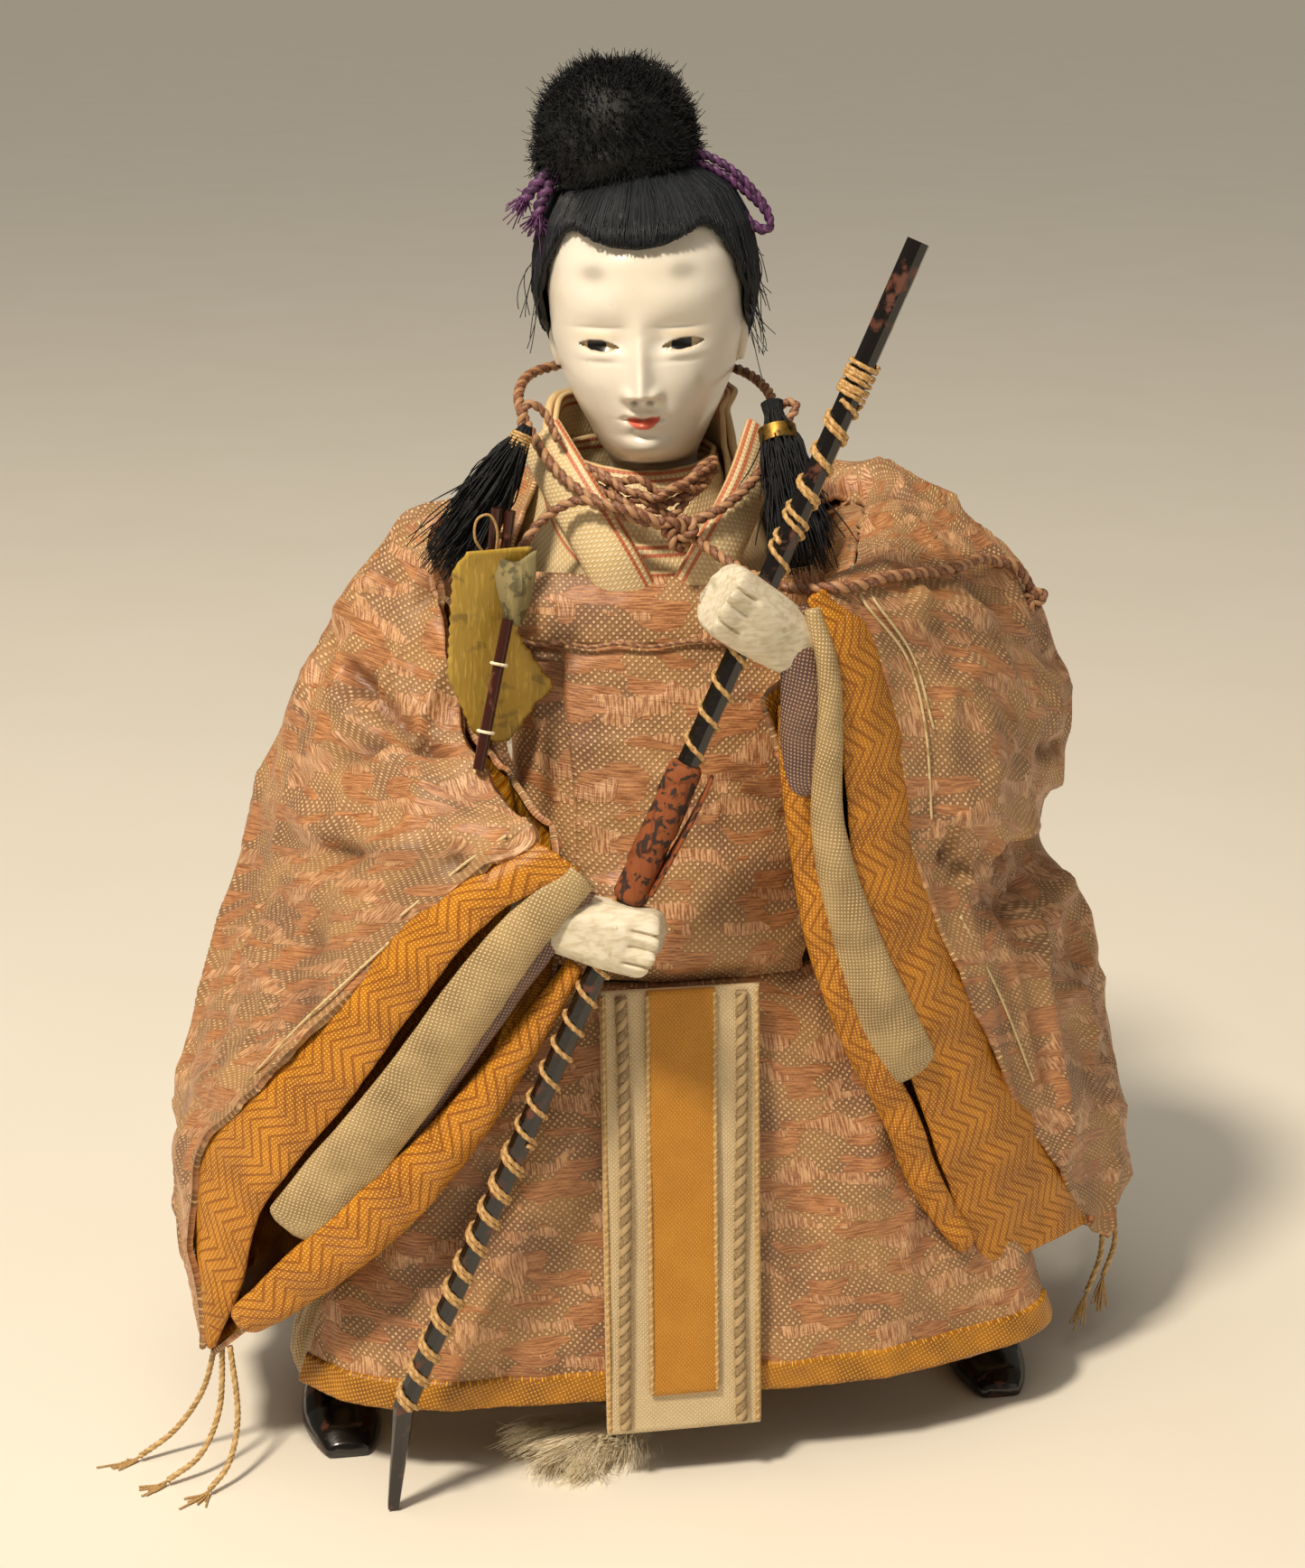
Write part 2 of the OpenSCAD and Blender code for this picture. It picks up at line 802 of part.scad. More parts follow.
// Pale wadding that escapes under the front of the robe
module wadding_tuft() {
  color("#d9cfa8")
    translate([-13, -29, 0.2])
      hull() {
        scale([9, 4.5, 2.4])
          translate([0, 0, 0.95])
            sphere(r = 0.9, $fn = 24);
        translate([-6, -3, 0])
          cylinder(r = 2, h = 1, $fn = 24);
      }
}

base_board();
seat_block();
straw_core();
core_ties();
body_padding();
leg(-1);  // leg_right
leg(1);  // leg_left
hakama(-1);  // hakama_right
hakama(1);  // hakama_left
shoe(-1);  // shoe_right
shoe(1);  // shoe_left
skirt_front();
skirt_hem();
robe_back();
bodice();
bib();
yoke();
waist_belt();
sash_backing();
sash_strip();
sash_cords();
collar_inner();
collar_outer();
arm_wire(-1);  // arm_wire_right
arm_wire(1);  // arm_wire_left
arm_padding(-1);  // arm_padding_right
arm_padding(1);  // arm_padding_left
sleeve(-1);  // sleeve_right
sleeve(1);  // sleeve_left
sleeve_lining(-1);  // sleeve_lining_right
sleeve_lining(1);  // sleeve_lining_left
inner_sleeve(-1);  // inner_sleeve_right
inner_sleeve(1);  // inner_sleeve_left
cuff(-1);  // cuff_right
cuff(1);  // cuff_left
hand_right();
hand_left();
bow_stave();
bow_grip();
bow_wraps();
bow_top_binding();
quiver_board();
quiver_arrows();
arrow_ties();
neck_cord();
throat_knot();
neck_cord_tail();
tassel_right();
tassel_left();
tassel_band();
neck_peg();
head();
eye(-1);  // eye_right
eye(1);  // eye_left
hair_cap();
topknot();
hair_cord();
sleeve_cords_right();
sleeve_cords_left();
wadding_tuft();
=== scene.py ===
"""Court-guard doll with a bow: robes, hair, face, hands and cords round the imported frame.

Lengths here are millimetres in the frame's own axes, and built() turns them into metres.
Left and right are the doll's own, as in the CAD model: its right side is at -X.
"""
import math

import bpy
import numpy as np
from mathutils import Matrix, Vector


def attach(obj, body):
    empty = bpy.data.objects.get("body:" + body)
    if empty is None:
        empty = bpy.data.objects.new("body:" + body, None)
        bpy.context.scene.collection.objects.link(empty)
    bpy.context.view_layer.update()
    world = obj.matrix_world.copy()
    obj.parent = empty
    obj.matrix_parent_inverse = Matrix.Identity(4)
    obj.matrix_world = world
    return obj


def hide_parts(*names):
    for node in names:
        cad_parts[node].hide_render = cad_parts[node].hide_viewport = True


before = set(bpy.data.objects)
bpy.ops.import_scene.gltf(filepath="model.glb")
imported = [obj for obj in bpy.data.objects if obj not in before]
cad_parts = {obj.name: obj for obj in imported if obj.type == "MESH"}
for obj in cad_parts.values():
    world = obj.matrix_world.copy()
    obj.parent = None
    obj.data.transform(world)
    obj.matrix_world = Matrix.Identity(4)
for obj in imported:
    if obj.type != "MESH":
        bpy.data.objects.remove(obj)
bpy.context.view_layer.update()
MM = 0.001
random = np.random.default_rng(7)


# ---------------------------------------------------------------- camera and light

def look(place, target):
    """Rotation that points a camera or lamp at a target."""
    return (Vector(target) - Vector(place)).to_track_quat("-Z", "Y").to_euler()


def make_camera(target, distance, azimuth, elevation, lens):
    """Camera round a target, at angles in degrees from straight in front."""
    a, e = math.radians(azimuth), math.radians(elevation)
    back = Vector((math.sin(a) * math.cos(e), -math.cos(a) * math.cos(e), math.sin(e)))
    data = bpy.data.cameras.new("camera")
    data.lens = lens
    data.clip_start = 0.01
    camera = bpy.data.objects.new("camera", data)
    camera.location = Vector(target) + back * distance
    camera.rotation_euler = look(camera.location, target)
    bpy.context.scene.collection.objects.link(camera)
    bpy.context.scene.camera = camera


def make_light(name, place, target, size, power, colour):
    """Round soft lamp. Size is in metres and power in watts."""
    data = bpy.data.lights.new(name, "AREA")
    data.shape = "DISK"
    data.size = size
    data.energy = power
    data.color = colour
    lamp = bpy.data.objects.new(name, data)
    lamp.location = place
    lamp.rotation_euler = look(place, target)
    bpy.context.scene.collection.objects.link(lamp)


def make_studio():
    """Warm key from above at the left, weak fill from the right, and a wide pale sky."""
    middle = (0, 0, 0.09)
    make_light("key", (-0.42, -0.42, 0.92), middle, size=0.15, power=10.6,
               colour=(1.0, 0.87, 0.70))
    make_light("fill", (0.75, -0.60, 0.35), middle, size=0.7, power=0.5,
               colour=(1.0, 0.90, 0.78))
    sky = bpy.data.lights.new("sky", "SUN")
    sky.energy = 0.88
    sky.angle = math.radians(60)
    sky.color = (1.0, 0.93, 0.82)
    lamp = bpy.data.objects.new("sky", sky)
    lamp.rotation_euler = look((-0.25, -0.12, 1.0), (0, 0, 0))
    bpy.context.scene.collection.objects.link(lamp)
    world = bpy.data.worlds.new("world")
    world.use_nodes = True
    world.node_tree.nodes["Background"].inputs[0].default_value = (0.80, 0.72, 0.60, 1)
    world.node_tree.nodes["Background"].inputs[1].default_value = 0.17
    bpy.context.scene.world = world
    bpy.context.scene.view_settings.view_transform = "Standard"


make_camera(target=(0.001, 0, 0.086), distance=0.380, azimuth=-9, elevation=17.5, lens=62.25)
make_studio()


# ---------------------------------------------------------------- numbers and curves

def smooth(t):
    """0 below 0, 1 above 1, and smooth between."""
    t = np.clip(t, 0, 1)
    return t * t * (3 - 2 * t)


def unit(v):
    v = np.asarray(v, float)
    return v / np.maximum(np.linalg.norm(v, axis=-1, keepdims=True), 1e-9)


def powered(v, e):
    """v to the power e, with its sign kept. Below 1 it squares a circle off."""
    return np.sign(v) * np.abs(v) ** e


def around(sides):
    """Angles once round a circle, in radians."""
    return np.linspace(0, 2 * np.pi, sides + 1)[:-1]


def running_mean(values, span):
    """Mean of the odd number of values round each one."""
    return np.convolve(np.pad(values, span // 2, "edge"), np.ones(span) / span, "valid")


def weights(n, count):
    """Catmull-Rom weights of n points at an even count of places along them."""
    table = np.zeros((count, n))
    for row, t in zip(table, np.linspace(0, n - 1, count)):
        i = min(int(t), n - 2)
        f = t - i
        parts = (
            (i - 1, -f + 2 * f * f - f ** 3), (i, 2 - 5 * f * f + 3 * f ** 3),
            (i + 1, f + 4 * f * f - 3 * f ** 3), (i + 2, -f * f + f ** 3),
        )
        for k, w in parts:
            if k < 0:
                row[0] += w
                row[0] += w
                row[1] -= w
            elif k > n - 1:
                row[n - 1] += 2 * w
                row[n - 2] -= w
            else:
                row[k] += w
    return table / 2


def refine(net, rows, columns):
    """Smooth grid of points through a coarse net of given ones."""
    net = np.array(net, float)
    down, across = weights(net.shape[0], rows), weights(net.shape[1], columns)
    return np.einsum("ri,cj,ijk->rck", down, across, net)


def lengths(path):
    """Each point's distance along a line."""
    return np.concatenate([[0], np.cumsum(np.linalg.norm(np.diff(path, axis=0), axis=1))])


def evenly(path, count):
    """The same line with its points evenly spaced."""
    path = np.asarray(path, float)
    along = lengths(path)
    places = np.linspace(0, along[-1], count)
    return np.stack([np.interp(places, along, path[:, k]) for k in range(3)], axis=1)


def route(points, spacing):
    """Smooth line through given points, one point every spacing mm."""
    points = np.array(points, float)
    fine = weights(len(points), len(points) * 12) @ points
    return evenly(fine, max(int(lengths(fine)[-1] / spacing), 2) + 1)


def lumps(points, size, seed=0):
    """Smooth noise from -1 to 1, in lumps of about size mm."""
    p = np.asarray(points, float) / size + seed * 17.3
    cell = np.floor(p)
    f = smooth(p - cell)
    total = np.zeros(p.shape[:-1])
    for corner in np.ndindex(2, 2, 2):
        corner = np.array(corner)
        share = np.prod(np.where(corner == 1, f, 1 - f), axis=-1)
        mixed = np.sin((cell + corner) @ np.array([127.1, 311.7, 74.7])) * 43758.5453
        total += share * (mixed - np.floor(mixed))
    return total * 2 - 1


def from_middle(grid):
    """Each point of a grid as seen from the middle of its row."""
    return grid - grid.mean(axis=1, keepdims=True)


def normals_of(grid, facing):
    """Unit normals of a grid, on the side that facing points to."""
    n = unit(np.cross(np.gradient(grid, axis=1), np.gradient(grid, axis=0)))
    return n if (n * facing).sum() > 0 else -n


# ---------------------------------------------------------------- mesh building

EDGE_ROUND = 0.4  # how far a sheet's edge bulges, as a share of its thickness
CREASE_GAIN = 1.7  # how much higher a crease stands than its listed height
NO_AXIS = np.array([0.31, 0.52, 0.79])  # a direction that no line here runs along


def built(name, points, faces, body, materials, replaces=(), uv=None, marks=None,
          face_materials=None, sharp=None):
    """Makes one piece. Faces is a list of index arrays, marks a dict of point attributes."""
    mesh = bpy.data.meshes.new(name)
    points = np.asarray(points, float).reshape(-1, 3) * MM
    mesh.from_pydata(points.tolist(), [], [f for block in faces for f in block.tolist()])
    mesh.polygons.foreach_set("use_smooth", np.ones(len(mesh.polygons), bool))
    for material in materials:
        mesh.materials.append(material)
    if face_materials is not None:
        mesh.polygons.foreach_set("material_index", np.asarray(face_materials, np.int32))
    if uv is not None:
        corner = np.zeros(len(mesh.loops), np.int32)
        mesh.loops.foreach_get("vertex_index", corner)
        layer = mesh.uv_layers.new(name="cloth")
        layer.data.foreach_set("uv", np.asarray(uv, np.float32).reshape(-1, 2)[corner].ravel())
    for key, values in (marks or {}).items():
        values = np.asarray(values, np.float32)
        kind = "FLOAT_COLOR" if values.ndim > 1 and values.shape[-1] == 4 else "FLOAT"
        attribute = mesh.attributes.new(key, kind, "POINT")
        attribute.data.foreach_set("color" if kind == "FLOAT_COLOR" else "value", values.ravel())
    mesh.update()
    if sharp:
        mesh.set_sharp_from_angle(angle=math.radians(sharp))
    piece = bpy.data.objects.new(name, mesh)
    bpy.context.scene.collection.objects.link(piece)
    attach(piece, body)
    if replaces:
        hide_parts(*replaces)
    return piece


def quads(rows, columns, closed=False):
    """Faces of a grid whose points count up along its columns first."""
    i = np.arange(rows - 1)[:, None] * columns
    j = np.arange(columns if closed else columns - 1)[None, :]
    k = (j + 1) % columns
    parts = (i + j, i + k, i + columns + k, i + columns + j)
    return np.stack([np.broadcast_to(part, (rows - 1, j.shape[1])) for part in parts],
                    axis=-1).reshape(-1, 4)


def rim_of(rows, columns):
    """Indices of a grid's outermost points, once round."""
    index = np.arange(rows * columns).reshape(rows, columns)
    return np.concatenate([index[0], index[1:, -1], index[-1, -2::-1], index[-2:0:-1, 0]])


def cloth_places(grid, start=0.5):
    """Each point's place on the flat cloth in mm, from its first row and a chosen column."""
    across = np.linalg.norm(np.diff(grid, axis=1), axis=-1).cumsum(axis=1)
    across = np.concatenate([np.zeros((len(grid), 1)), across], axis=1)
    down = np.linalg.norm(np.diff(grid, axis=0), axis=-1).cumsum(axis=0)
    down = np.concatenate([np.zeros((1, grid.shape[1])), down], axis=0)
    return np.stack([across - across[:, [int(grid.shape[1] * start)]], down], axis=-1)


def shell(name, grid, thick, facing, body, materials, fold=None, replaces=(), uv=None):
    """Closed sheet of cloth. Its outer face lies on the grid, and its edges are rounded."""
    rows, columns = grid.shape[:2]
    n = normals_of(grid, facing)
    inner = grid - n * thick
    fold = np.zeros((rows, columns)) if fold is None else fold
    places = cloth_places(grid) if uv is None else uv
    size = rows * columns
    rim = rim_of(rows, columns)
    middle = (grid - n * thick / 2).reshape(-1, 3)[rim]
    ring = np.roll(middle, -1, axis=0) - np.roll(middle, 1, axis=0)
    out = unit(np.cross(ring, n.reshape(-1, 3)[rim]))
    centre = grid.reshape(-1, 3).mean(axis=0)
    if ((middle - centre) * out).sum() < 0:
        out = -out
    middle = middle + out * thick * EDGE_ROUND
    points = np.concatenate([grid.reshape(-1, 3), inner.reshape(-1, 3), middle])
    front = quads(rows, columns)
    if (np.cross(grid[0, 1] - grid[0, 0], grid[1, 0] - grid[0, 0]) * n[0, 0]).sum() < 0:
        front = front[:, ::-1]
    behind = front[:, ::-1] + size
    a, b = rim, np.roll(rim, -1)
    c = 2 * size + np.arange(len(rim))
    d = np.roll(c, -1)
    edge = np.concatenate([np.stack([b, a, c, d], 1), np.stack([d, c, a + size, b + size], 1)])
    v = points[edge[0]]
    if (np.cross(v[1] - v[0], v[2] - v[0]) @ out[0]) < 0:
        edge = edge[:, ::-1]
    spots = places.reshape(-1, 2)
    # The fold mark, how deep in a fold each point is, is painted as shade by the materials.
    shade = fold.reshape(-1)
    return built(
        name, points, [front, behind, edge], body, materials, replaces,
        uv=np.concatenate([spots, spots, spots[rim]]),
        marks={"fold": np.concatenate([shade, shade, shade[rim]])},
        face_materials=np.concatenate([
            np.zeros(len(front)), np.full(len(behind), len(materials) - 1),
            np.zeros(len(edge)),
        ]),
    )


def wrinkles(points, size, along, seed):
    """Soft ridges from 0 to 1 that run roughly along a direction."""
    along = unit(np.array(along, float))
    held = points - (points @ along)[..., None] * along * 0.72
    held = held + 1.6 * lumps(points, size * 2.2, seed + 5)[..., None]
    return (1 - np.abs(lumps(held, size, seed))) ** 3


def creased(grid, facing, creases=(), rough=0.3, size=9.0, seed=0, along=(0, 0, 1), ridge=0.0):
    """Pushes listed folds and the cloth's own unevenness into a grid.

    A crease is its two ends, its width and its height. Returns the grid and how deep in a
    fold each point is, which the materials turn into painted shade."""
    n = normals_of(grid, facing)
    shift = rough * (0.75 * lumps(grid, size, seed) + 0.4 * lumps(grid, size * 0.42, seed + 1))
    for x0, y0, z0, x1, y1, z1, width, height in creases:
        start, run = np.array([x0, y0, z0], float), np.array([x1 - x0, y1 - y0, z1 - z0], float)
        t = np.clip((grid - start) @ run / (run @ run), 0, 1)
        gap = np.linalg.norm(grid - start - t[..., None] * run, axis=-1)
        shift += height * CREASE_GAIN * np.exp(-(gap / width) ** 2)
    if ridge:
        shift += ridge * (wrinkles(grid, 8.5, along, seed) - 0.25)
        shift += ridge * 0.5 * (wrinkles(grid, 4.2, along, seed + 9) - 0.25)
    return grid + n * shift[..., None], np.clip(-shift * 0.6, 0, 1)


def tubes(name, paths, radii, sides, body, material, replaces=(), marks=None):
    """Many round strands in one mesh. Paths is strands by points by 3."""
    paths = np.asarray(paths, float)
    count, steps = paths.shape[:2]
    radii = np.broadcast_to(radii, (count, steps))
    along = unit(np.gradient(paths, axis=1))
    a = unit(np.cross(along, NO_AXIS))
    b = np.cross(along, a)
    turn = np.arange(sides) * 2 * np.pi / sides
    ring = np.cos(turn)[:, None] * a[:, :, None] + np.sin(turn)[:, None] * b[:, :, None]
    points = paths[:, :, None] + ring * radii[:, :, None, None]
    one = quads(steps, sides, closed=True)
    starts = np.arange(count)[:, None, None] * steps * sides
    cap = np.arange(sides)
    first = (cap[::-1] + starts[:, 0]).reshape(-1, sides)
    last = (cap + (steps - 1) * sides + starts[:, 0]).reshape(-1, sides)
    walls = (one + starts).reshape(-1, 4)
    values = {k: np.repeat(np.broadcast_to(v, (count, steps)).ravel(), sides)
              for k, v in (marks or {}).items()}
    return built(name, points, [walls, first, last], body, [material], replaces,
                 marks=values)


def frames_along(path):
    """Two directions across a line at each of its points, without any spin."""
    along = unit(np.gradient(path, axis=0))
    a = [unit(np.cross(along[0], NO_AXIS))]
    for t in along[1:]:
        a.append(unit(a[-1] - (a[-1] @ t) * t))
    a = np.array(a)
    return a, np.cross(along, a)


def lofted(name, rings, body, material, replaces=(), marks=None, sharp=None, uv=None):
    """Closed piece through a stack of rings."""
    rows, sides = rings.shape[:2]
    cap = np.arange(sides)
    faces = [quads(rows, sides, closed=True), cap[None, ::-1], cap[None] + (rows - 1) * sides]
    return built(name, rings, faces, body, [material], replaces, uv=uv, marks=marks,
                 sharp=sharp)


def twisted(name, path, radius, body, material, replaces=(), plies=2, pitch=3.0,
            depth=0.42, sides=14):
    """Cord whose plies wind round each other. The groove between them is cut in the mesh."""
    path = np.asarray(path, float)
    along = lengths(path)
    a, b = frames_along(path)
    turn = np.arange(sides) * 2 * np.pi / sides
    lay = turn[None, :] - 2 * np.pi * along[:, None] / pitch
    crown = np.abs(np.cos(lay * plies / 2))
    reach = radius * (1 - depth + depth * crown)
    rings = path[:, None] + reach[..., None] * (
        np.cos(turn)[:, None] * a[:, None] + np.sin(turn)[:, None] * b[:, None])
    ply = (np.cos(lay * plies / 2) > 0).astype(float)
    # Fold is how deep in the groove each point is, which the cord's material paints as shade.
    return lofted(name, rings, body, material, replaces,
                  {"fold": (1 - crown).ravel(), "ply": ply.ravel()})


# ---------------------------------------------------------------- materials

def tone(code):
    """Linear colour of a six-digit web colour."""
    parts = [int(code[i:i + 2], 16) / 255 for i in (0, 2, 4)]
    return tuple(c / 12.92 if c < 0.04045 else ((c + 0.055) / 1.055) ** 2.4 for c in parts) + (1,)


class Paint:
    """One node material: a Principled shader, and helpers that return sockets."""

    def __init__(self, name, **settings):
        self.material = bpy.data.materials.new(name)
        self.material.use_nodes = True
        self.tree = self.material.node_tree
        self.tree.nodes.clear()
        self.shader = self.tree.nodes.new("ShaderNodeBsdfPrincipled")
        output = self.tree.nodes.new("ShaderNodeOutputMaterial")
        self.tree.links.new(self.shader.outputs[0], output.inputs[0])
        for key, value in settings.items():
            self.feed(self.shader.inputs[key.replace("_", " ")], value)

    def feed(self, socket, value):
        """Value is another node's socket, a web colour or a plain value."""
        if isinstance(value, bpy.types.NodeSocket):
            self.tree.links.new(value, socket)
        else:
            socket.default_value = tone(value) if isinstance(value, str) else value

    def node(self, kind, properties=(), **inputs):
        node = self.tree.nodes.new("ShaderNode" + kind)
        for key, value in dict(properties).items():
            setattr(node, key, value)
        for key, value in inputs.items():
            self.feed(node.inputs[key.replace("_", " ")], value)
        return node

    def math(self, operation, *values):
        node = self.node("Math", {"operation": operation})
        for socket, value in zip(node.inputs, values):
            self.feed(socket, value)
        return node.outputs[0]

    def plus(self, a, b):
        return self.math("ADD", a, b)

    def minus(self, a, b):
        return self.math("SUBTRACT", a, b)

    def times(self, a, b):
        return self.math("MULTIPLY", a, b)

    def mix(self, factor, a, b):
        node = self.node("Mix", {"data_type": "RGBA"})
        for socket, value in ((node.inputs[0], factor), (node.inputs[6], a), (node.inputs[7], b)):
            self.feed(socket, value)
        return node.outputs[2]

    def rise(self, value, low, high):
        """0 below low, 1 above high, and smooth between."""
        node = self.node("MapRange", {"interpolation_type": "SMOOTHSTEP"},
                         Value=value, From_Min=low, From_Max=high)
        return node.outputs[0]

    def stretched(self, where, x=1.0, y=1.0, z=1.0, turn=0.0):
        node = self.node("Mapping", Vector=where, Scale=(x, y, z), Rotation=(0, 0, turn))
        return node.outputs[0]

    def noise(self, where, size, detail=2.0, distortion=0.0):
        return self.node("TexNoise", Vector=where, Scale=1 / size, Detail=detail,
                         Distortion=distortion).outputs[0]

    def beads(self, u, v, width, height):
        """Staggered rows of short floats, width mm apart in rows half of height mm apart."""
        across = self.math("SINE", self.times(u, 2 * math.pi / width))
        down = self.math("SINE", self.times(v, 2 * math.pi / height))
        return self.rise(self.times(across, down), 0.05, 0.75)

    def turned(self, where, angle):
        parts = self.node("SeparateXYZ", Vector=self.stretched(where, turn=angle))
        return parts.outputs[0], parts.outputs[1]

    def waves(self, value, pitch):
        """0 to 1 and back every pitch mm."""
        return self.math("PINGPONG", self.math("DIVIDE", value, pitch / 2), 1.0)

    def cloth(self):
        """The place on the flat cloth in mm, whole and as its two parts."""
        where = self.node("UVMap", {"uv_map": "cloth"}).outputs[0]
        parts = self.node("SeparateXYZ", Vector=where)
        return where, parts.outputs[0], parts.outputs[1]

    def place(self):
        """The place on the piece in mm."""
        where = self.node("TexCoord").outputs["Object"]
        node = self.node("VectorMath", {"operation": "SCALE"}, Vector=where, Scale=1 / MM)
        return node.outputs[0]

    def mark(self, name):
        return self.node("Attribute", {"attribute_name": name})

    def carried(self, name):
        """The number of this name that the mesh carries at each point."""
        return self.mark(name).outputs["Fac"]

    def shaded_in_folds(self, colour, share, shade):
        """The colour, with a share of painted shade in the depth of the folds."""
        return self.mix(self.times(self.carried("fold"), share), colour, shade)

    def finish(self, colour, roughness=None, height=None, depth=0.08, strength=0.7):
        """Height is raised to depth mm in the bump."""
        self.feed(self.shader.inputs["Base Color"], colour)
        if roughness is not None:
            self.feed(self.shader.inputs["Roughness"], roughness)
        if height is not None:
            bump = self.node("Bump", Height=height, Distance=depth * MM, Strength=strength)
            self.tree.links.new(bump.outputs[0], self.shader.inputs["Normal"])
        return self.material


def make_brocade(name):
    """Dusty mauve silk with rows of pale floats painted paler still as a highlight, and leafy
    figures in copper satin, with painted shade in the folds.
    """
    p = Paint(name, Sheen_Weight=0.2, Sheen_Roughness=0.4, Sheen_Tint="e8b890")
    where, u, v = p.cloth()
    ragged = p.times(p.minus(p.noise(where, 0.8, 1.0), 0.5), 0.06)
    leaf = p.noise(p.stretched(where, 0.62, 1.3, turn=0.75), 4.6, 0.0, 0.5)
    other = p.noise(p.stretched(where, 0.62, 1.3, turn=-0.7), 4.2, 0.0, 0.5)
    satin = p.rise(p.plus(leaf, ragged), 0.54, 0.56)
    upright = p.rise(p.plus(other, ragged), 0.60, 0.62)
    floats = p.noise(p.stretched(where, 0.22, 2.6), 0.62, 3.0)
    strokes = p.noise(p.stretched(where, 2.9, 0.3), 0.75, 2.0)
    beads = p.beads(u, v, 0.98, 0.98)
    stain = p.noise(where, 14.0, 3.0)
    spark = p.noise(where, 0.9, 2.0)
    base = p.mix(p.rise(stain, 0.35, 0.65), "ac8254", "846044")
    # The floats' own pale colour, painted paler still as a highlight, with a noise that brightens
    # some floats more as painted glints.
    lit = p.times(beads, p.plus(0.45, p.rise(spark, 0.35, 0.65)))
    dotted = p.mix(p.times(lit, 0.9), base, "ecc896")
    copper = p.mix(p.rise(floats, 0.34, 0.66), "8c5530", "cc9160")
    pale = p.mix(p.rise(strokes, 0.40, 0.60), "9a6440", "e2b488")
    colour = p.mix(p.times(satin, 0.9), dotted, copper)
    colour = p.mix(p.times(upright, 0.8), colour, pale)
    colour = p.mix(p.times(p.rise(stain, 0.50, 0.78), 0.35), colour, "8c6454")
    # Painted shade in the depth of the folds.
    colour = p.shaded_in_folds(colour, 0.55, "4e3228")
    figure = p.math("MAXIMUM", satin, upright)
    roughness = p.minus(0.55, p.times(figure, 0.15))
    plain = p.times(beads, p.minus(1.0, figure))
    raised = p.plus(plain, p.times(floats, satin))
    raised = p.plus(raised, p.times(strokes, upright))
    return p.finish(colour, roughness, raised, 0.16, 0.85)


def make_twill(name, ground, bright, dark, bead=0.62, fret=0.0, shade="4a2a18"):
    """Silk in fine beads painted bright as a highlight on their own colour, with zigzag fret lines
    where fret is above 0, and shade painted into the folds.
    """
    p = Paint(name, Sheen_Weight=0.1, Sheen_Roughness=0.35, Sheen_Tint=bright)
    where, u, v = p.cloth()
    beads = p.beads(*p.turned(where, 0.5), bead, bead * 1.15)
    worn = p.noise(where, 7.0, 3.0)
    base = p.mix(p.rise(worn, 0.3, 0.7), ground, dark)
    # The bright beads are the floats' own colour with a painted highlight on them.
    colour = p.mix(p.times(beads, 0.85), base, bright)
    height = beads
    if fret:
        zigzag = p.plus(u, p.times(p.waves(v, 8.6), 3.4))
        line = p.rise(p.waves(zigzag, 1.7), 0.30, 0.14)
        colour = p.mix(p.times(line, fret), colour, dark)
        height = p.minus(beads, p.times(line, 1.4))
    # Painted shade in the depth of the folds, in the shade colour.
    colour = p.shaded_in_folds(colour, 0.5, shade)
    return p.finish(colour, 0.44, height, 0.13, 0.8)


def make_ribbed(name, ground, bright, width, height, edge=None):
    """Ribs of floats. Edge is the colour of two lines near the cloth's first row."""
    p = Paint(name, Sheen_Weight=0.1, Sheen_Roughness=0.4, Sheen_Tint=bright)
    where, u, v = p.cloth()
    beads = p.beads(u, v, width, height)
    worn = p.noise(where, 5.0, 3.0)
    base = p.mix(p.times(p.rise(worn, 0.3, 0.75), 0.2), ground, bright)
    colour = p.mix(p.times(beads, 0.8), base, bright)
    if edge:
        band = p.rise(p.waves(p.plus(v, 0.2), 1.1), 0.45, 0.65)
        near = p.rise(v, 2.3, 2.1)
        colour = p.mix(p.times(band, near), colour, edge)
    # Painted shade in the depth of the folds.
    colour = p.shaded_in_folds(colour, 0.5, "3c2a1a")
    return p.finish(colour, 0.5, beads, 0.12, 0.75)


def make_cord(name, one, two, groove):
    """Silk cord of two plies in two colours, with painted shade in the groove between them."""
    p = Paint(name, Sheen_Weight=0.2, Sheen_Roughness=0.4, Sheen_Tint=two)
    fibre = p.noise(p.stretched(p.place(), 3, 3, 1.2), 0.5, 3.0)
    ply = p.carried("ply")
    colour = p.mix(ply, one, two)
    colour = p.mix(p.rise(fibre, 0.4, 0.75), colour, two)
    # Painted shade in the groove between the plies, where the fold mark is deep.
    deep = p.rise(p.carried("fold"), 0.45, 1.0)
    colour = p.mix(deep, colour, groove)
    return p.finish(colour, 0.5, fibre, 0.08)


def make_hair(name, dark, light, roughness=0.34):
    """Black silk hair: each strand of its own tone, and fine paler lines along the strands as a
    painted cool sheen.
    """
    p = Paint(name, Specular_IOR_Level=0.34)
    where = p.place()
    strand = p.carried("strand")
    fine = p.noise(p.stretched(where, 2.2, 2.2, 0.35), 0.4, 2.0)
    colour = p.mix(strand, dark, light)
    # The fine lines are paled toward the cooler colour as a painted sheen.
    colour = p.mix(p.times(fine, 0.4), colour, light)
    rough = p.plus(roughness, p.times(fine, 0.25))
    return p.finish(colour, rough, fine, 0.08)


